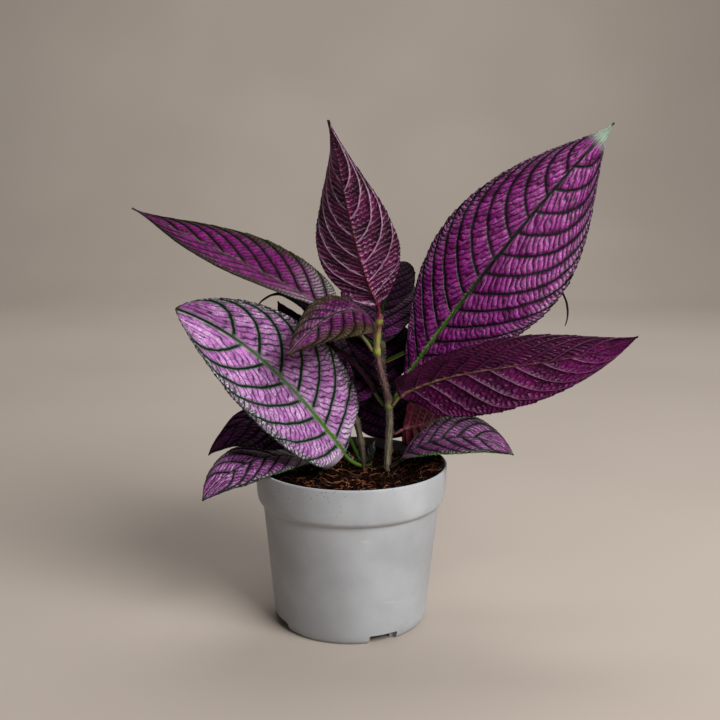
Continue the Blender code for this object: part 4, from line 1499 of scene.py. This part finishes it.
@dataclass
class Soil:
    """The soil in the pot: a crumbly bed heaped at the right, loose crumbs and bent fibres on it."""

    pot: Pot
    stems: dict
    seat_gap: float = 0.3
    surface: float = 94.0
    crumb_size: float = 9.0
    crumb_height: float = 2.6
    heap_centre: tuple = (53.0, -6.0)
    heap_height: float = 9.5
    heap_spread: float = 18.0
    rings: int = 56
    steps: int = 150
    crumb_count: int = 1500
    fibre_count: int = 420

    def level(self, x: float, y: float) -> float:
        """The bed's height in millimetres at a place in millimetres."""
        away = Vector((x - self.heap_centre[0], y - self.heap_centre[1])).length / self.heap_spread
        heap = self.heap_height * 2.718 ** (-(away**2))
        crumb = self.crumb_height * noise.noise(Vector((x, y, 0)) / self.crumb_size)
        from_axis = Vector((x, y)).length
        fine = 0.9 * noise.noise(Vector((x, y, 40)) / 3.1) + 0.5 * noise.noise(Vector((x, y, 80)) / 1.3)
        return self.surface + heap + crumb * (0.4 + 0.6 * min(1, from_axis / 30)) + fine

    def build(self) -> None:
        """Makes the bed, its crumbs and its fibres."""
        self.build_bed()
        self.build_crumbs()
        self.build_fibres()

    def build_bed(self) -> None:
        """Spins the bed from its profile and raises its top."""
        pot = self.pot
        floor = pot.channel + pot.wall + self.seat_gap
        shoulder = pot.inner_radius(self.surface - self.crumb_height) - self.seat_gap
        profile = [(shoulder * index / self.rings, self.surface) for index in range(self.rings + 1)]
        profile += [
            (pot.inner_radius(pot.height - pot.band_height) - self.seat_gap, pot.height - pot.band_height),
            (pot.inner_radius(floor) - 2 * self.seat_gap, floor),
            (pot.disc_radius + 2 - self.seat_gap, floor),
            (pot.disc_radius - self.seat_gap, pot.wall + self.seat_gap),
            (0, pot.wall + self.seat_gap),
        ]
        bm = bmesh.new()
        points = [bm.verts.new((radius * MM, 0, height * MM)) for radius, height in profile]
        edges = [bm.edges.new(pair) for pair in zip(points, points[1:])]
        bmesh.ops.spin(bm, geom=points + edges, cent=(0, 0, 0), axis=(0, 0, 1), angle=2 * pi,
                       steps=self.steps, use_merge=True)
        bmesh.ops.remove_doubles(bm, verts=bm.verts, dist=1e-6)
        for vert in bm.verts:
            if vert.co.z > (self.surface - 1) * MM:
                vert.co.z = self.level(vert.co.x / MM, vert.co.y / MM) * MM
        bmesh.ops.recalc_face_normals(bm, faces=bm.faces)
        fit_piece(bm, "soil_bed", (SoilFinish().make("soil_peat", 0.35),), "soil")

    def spot(self, chance: Random) -> tuple[float, float]:
        """A random place on the bed, more often near the pot's wall and on the heap."""
        if chance.random() < 0.35:
            x = self.heap_centre[0] + chance.gauss(0, 8)
            y = self.heap_centre[1] + chance.gauss(0, 14)
            if Vector((x, y)).length < 57.6:
                return x, y
        turn = chance.uniform(0, 2 * pi)
        radius = 55.5 * chance.random() ** 0.45
        return radius * cos(turn), radius * sin(turn)

    def build_crumbs(self) -> None:
        """Scatters crumbs of peat over the bed."""
        bm = bmesh.new()
        chance = Random(7)
        for _ in range(self.crumb_count):
            x, y = self.spot(chance)
            size = chance.uniform(0.45, 1.0) ** 1.6 * 1.7
            middle = Vector((x, y, self.level(x, y) + 0.25 * size)) * MM
            turn = Euler([chance.uniform(0, 2 * pi) for _ in range(3)]).to_matrix().to_4x4()
            sizes = (chance.uniform(0.7, 1.4), chance.uniform(0.6, 1.1), chance.uniform(0.5, 0.9), 1)
            shape = Matrix.Diagonal(sizes)
            crumb = bmesh.ops.create_icosphere(bm, subdivisions=1, radius=size * MM,
                                               matrix=Matrix.Translation(middle) @ turn @ shape)
            for vert in crumb["verts"]:
                vert.co += Vector([chance.uniform(-0.22, 0.22) * size * MM for _ in range(3)])
        piece = fit_piece(bm, "soil_crumbs", (SoilFinish().make("soil_crumb", 0.5),), None)
        piece.data.shade_flat()

    def build_fibres(self) -> None:
        """Lays bent fibres and slivers on the bed."""
        bm = bmesh.new()
        chance = Random(11)
        for _ in range(self.fibre_count):
            x, y = self.spot(chance)
            self.lay_fibre(bm, chance, x, y)
        finish = FibreFinish().make()
        fit_piece(bm, "soil_fibres", (finish,), None)

    def lay_fibre(self, bm: bmesh.types.BMesh, chance: Random, x: float, y: float) -> None:
        """Adds one fibre that bends over the soil.

        Args:
            bm: The bmesh to add to.
            chance: Where its random bend comes from.
            x: Its middle, in millimetres.
            y: Its middle, in millimetres.
        """
        rows = 6
        length = chance.uniform(4, 13)
        radius = chance.uniform(0.12, 0.32)
        turn = chance.uniform(0, 2 * pi)
        bow = chance.uniform(-0.35, 0.35)
        arch = chance.uniform(0.2, 2.2)
        grid = bmesh.ops.create_grid(bm, x_segments=4, y_segments=rows, size=1)
        ahead = Vector((cos(turn), sin(turn), 0))
        side = Vector((-sin(turn), cos(turn), 0))
        for vert in grid["verts"]:
            share = (vert.co.y + 1) / 2
            around = (vert.co.x + 1) * pi
            along = (share - 0.5) * length
            middle = Vector((x, y, 0)) + ahead * along + side * bow * along * along / length * 2
            reach = middle.xy.length
            if reach > 57.5:
                middle = middle * (57.5 / reach)
            middle.z = self.level(middle.x, middle.y) + arch * sin(pi * share) + 0.25
            thin = radius * min(1, 6 * share, 6 * (1 - share)) + 0.001
            vert.co = (middle + (side * cos(around) + Vector((0, 0, 1)) * sin(around)) * thin) * MM
        bmesh.ops.remove_doubles(bm, verts=grid["verts"], dist=3e-6)


@dataclass(frozen=True)
class FibreFinish:
    """Coir and bark slivers, from straw to dark brown."""

    straw: Colour = paint(150, 84, 42)
    brown: Colour = paint(44, 20, 8)

    def make(self) -> bpy.types.Material:
        """Builds the fibres' material."""
        desk = NodeDesk("soil_fibre")
        shade = desk.noise(120, 2)
        streak = desk.noise(1500, 2)
        colour = desk.mix(desk.band(shade, 0.35, 0.65), self.brown, self.straw)
        colour = desk.mix(desk.band(streak, 0.4, 0.7), colour, self.brown)
        desk.bump(streak, 0.15 * MM, 0.6)
        return desk.finish(Base_Color=colour, Roughness=0.8)


@dataclass
class Studio:
    """Camera, floor and soft lights."""

    camera_place: tuple = (0.0, -0.607, 0.280)
    lens: float = 50.0
    film: float = 36.0
    pitch: float = 10.65
    yaw: float = 0.477
    roll: float = 0.396
    floor_size: float = 6.0
    floor_tone: Colour = paint(164, 153, 143)

    def build(self) -> None:
        """Sets up everything that isn't part of the object."""
        self.set_camera()
        self.lay_floor()
        self.hang_lights()

    def set_camera(self) -> None:
        """Puts the camera at the photograph's place, level to within half a degree."""
        data = bpy.data.cameras.new("studio_camera")
        data.lens = self.lens
        data.sensor_width = self.film
        data.sensor_fit = "AUTO"
        camera = bpy.data.objects.new("studio_camera", data)
        turn = (
            Matrix.Rotation(radians(-self.yaw), 4, "Z")
            @ Matrix.Rotation(radians(90 - self.pitch), 4, "X")
            @ Matrix.Rotation(radians(self.roll), 4, "Z")
        )
        camera.matrix_world = Matrix.Translation(self.camera_place) @ turn
        bpy.context.scene.collection.objects.link(camera)
        bpy.context.scene.camera = camera

    def lay_floor(self) -> None:
        """Lays a pale floor that curves up into a backdrop far behind the object."""
        bm = bmesh.new()
        half = self.floor_size / 2
        radius = 0.9
        line = [bm.verts.new((-half, -half, 0)), bm.verts.new((-half, half - 1.5, 0))]
        line += [
            bm.verts.new((-half, half - 1.5 + radius * sin(turn), radius * (1 - cos(turn))))
            for turn in np.linspace(0, pi / 2, 17)[1:]
        ]
        line.append(bm.verts.new((-half, half - 1.5 + radius, 3.2)))
        edges = [bm.edges.new(pair) for pair in zip(line, line[1:])]
        swept = bmesh.ops.extrude_edge_only(bm, edges=edges)
        moved = [item for item in swept["geom"] if isinstance(item, bmesh.types.BMVert)]
        bmesh.ops.translate(bm, verts=moved, vec=(self.floor_size, 0, 0))
        bmesh.ops.recalc_face_normals(bm, faces=bm.faces)
        mesh = bpy.data.meshes.new("studio_floor")
        bm.to_mesh(mesh)
        bm.free()
        mesh.shade_smooth()
        floor = bpy.data.objects.new("studio_floor", mesh)
        bpy.context.scene.collection.objects.link(floor)
        desk = NodeDesk("studio_floor_paper")
        tone = desk.mix(desk.band(desk.noise(1.5, 2), 0.3, 0.7), self.floor_tone, paint(156, 145, 135))
        mesh.materials.append(desk.finish(Base_Color=tone, Roughness=0.85))

    def hang_lights(self) -> None:
        """Hangs a large soft key at the right, a weak fill and a rim, in a dim room."""
        self.hang("key_light", (0.75, -0.85, 1.05), 0.85, 34)
        self.hang("fill_light", (-0.7, -0.6, 1.6), 0.9, 1.3)
        self.hang("back_light", (0.4, 1.0, 1.4), 0.9, 4)
        self.hang("backdrop_light", (0.0, 0.9, 2.3), 1.2, 38, (0.0, 2.6, 0.5))
        world = bpy.data.worlds.new("studio_room")
        world.use_nodes = True
        room = world.node_tree.nodes["Background"]
        room.inputs["Color"].default_value = (0.9, 0.95, 1.0, 1)
        room.inputs["Strength"].default_value = 0.05
        bpy.context.scene.world = world
        bpy.context.scene.view_settings.view_transform = "Standard"

    def hang(self, name: str, place: tuple, size: float, watts: float, aim: tuple = (0.02, 0, 0.15)) -> None:
        """Hangs one square soft light.

        Args:
            name: The light's name.
            place: Where it hangs, in metres.
            size: The length of its sides, in metres.
            watts: Its power.
            aim: The point it faces.
        """
        data = bpy.data.lights.new(name, "AREA")
        data.shape = "SQUARE"
        data.size = size
        data.energy = watts
        light = bpy.data.objects.new(name, data)
        light.location = place
        light.rotation_euler = (Vector(aim) - Vector(place)).to_track_quat("-Z", "Y").to_euler()
        bpy.context.scene.collection.objects.link(light)


@dataclass
class PottedPlant:
    """The whole object: pot, soil, four shoots and their leaves."""

    stems: dict = field(default_factory=lambda: {stem.name: stem for stem in STEMS})

    def build(self) -> None:
        """Builds every piece, from the pot upwards."""
        pot = Pot()
        pot.build()
        Soil(pot, self.stems).build()
        self.build_shoots()
        Foliage(self.stems).build()

    def build_shoots(self) -> None:
        """Builds the shoots and one piece with all their hairs."""
        barks = {"stem_front": BarkFinish().make()}
        # painted shade: a darker copy of the bark for the shoots that stand back in shadow
        inner = BarkFinish(
            "stem_bark_inner_shade", low=paint(74, 62, 50), blush=paint(52, 30, 36), blush_dark=paint(26, 12, 18),
            high=paint(60, 44, 36), joint=paint(70, 66, 30),
        ).make()
        hairs = bmesh.new()
        chance = Random(3)
        for plan in STEMS:
            shoot = Shoot(plan)
            shoot.build(barks.get(plan.name, inner))
            shoot.add_hairs(hairs, chance)
        fit_piece(hairs, "stem_hairs", (HairFinish().make(),), None)


def corners(box: tuple) -> list[list[float]]:
    """A box's two corners as plain lists of numbers."""
    return [[round(float(axis), 5) for axis in corner] for corner in box]


def main() -> None:
    """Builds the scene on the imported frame."""
    logging.basicConfig(level=logging.INFO, format="%(name)s: %(message)s")
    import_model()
    Studio().build()
    PottedPlant().build()
    bpy.context.view_layer.update()


if __name__ == "__main__":
    main()
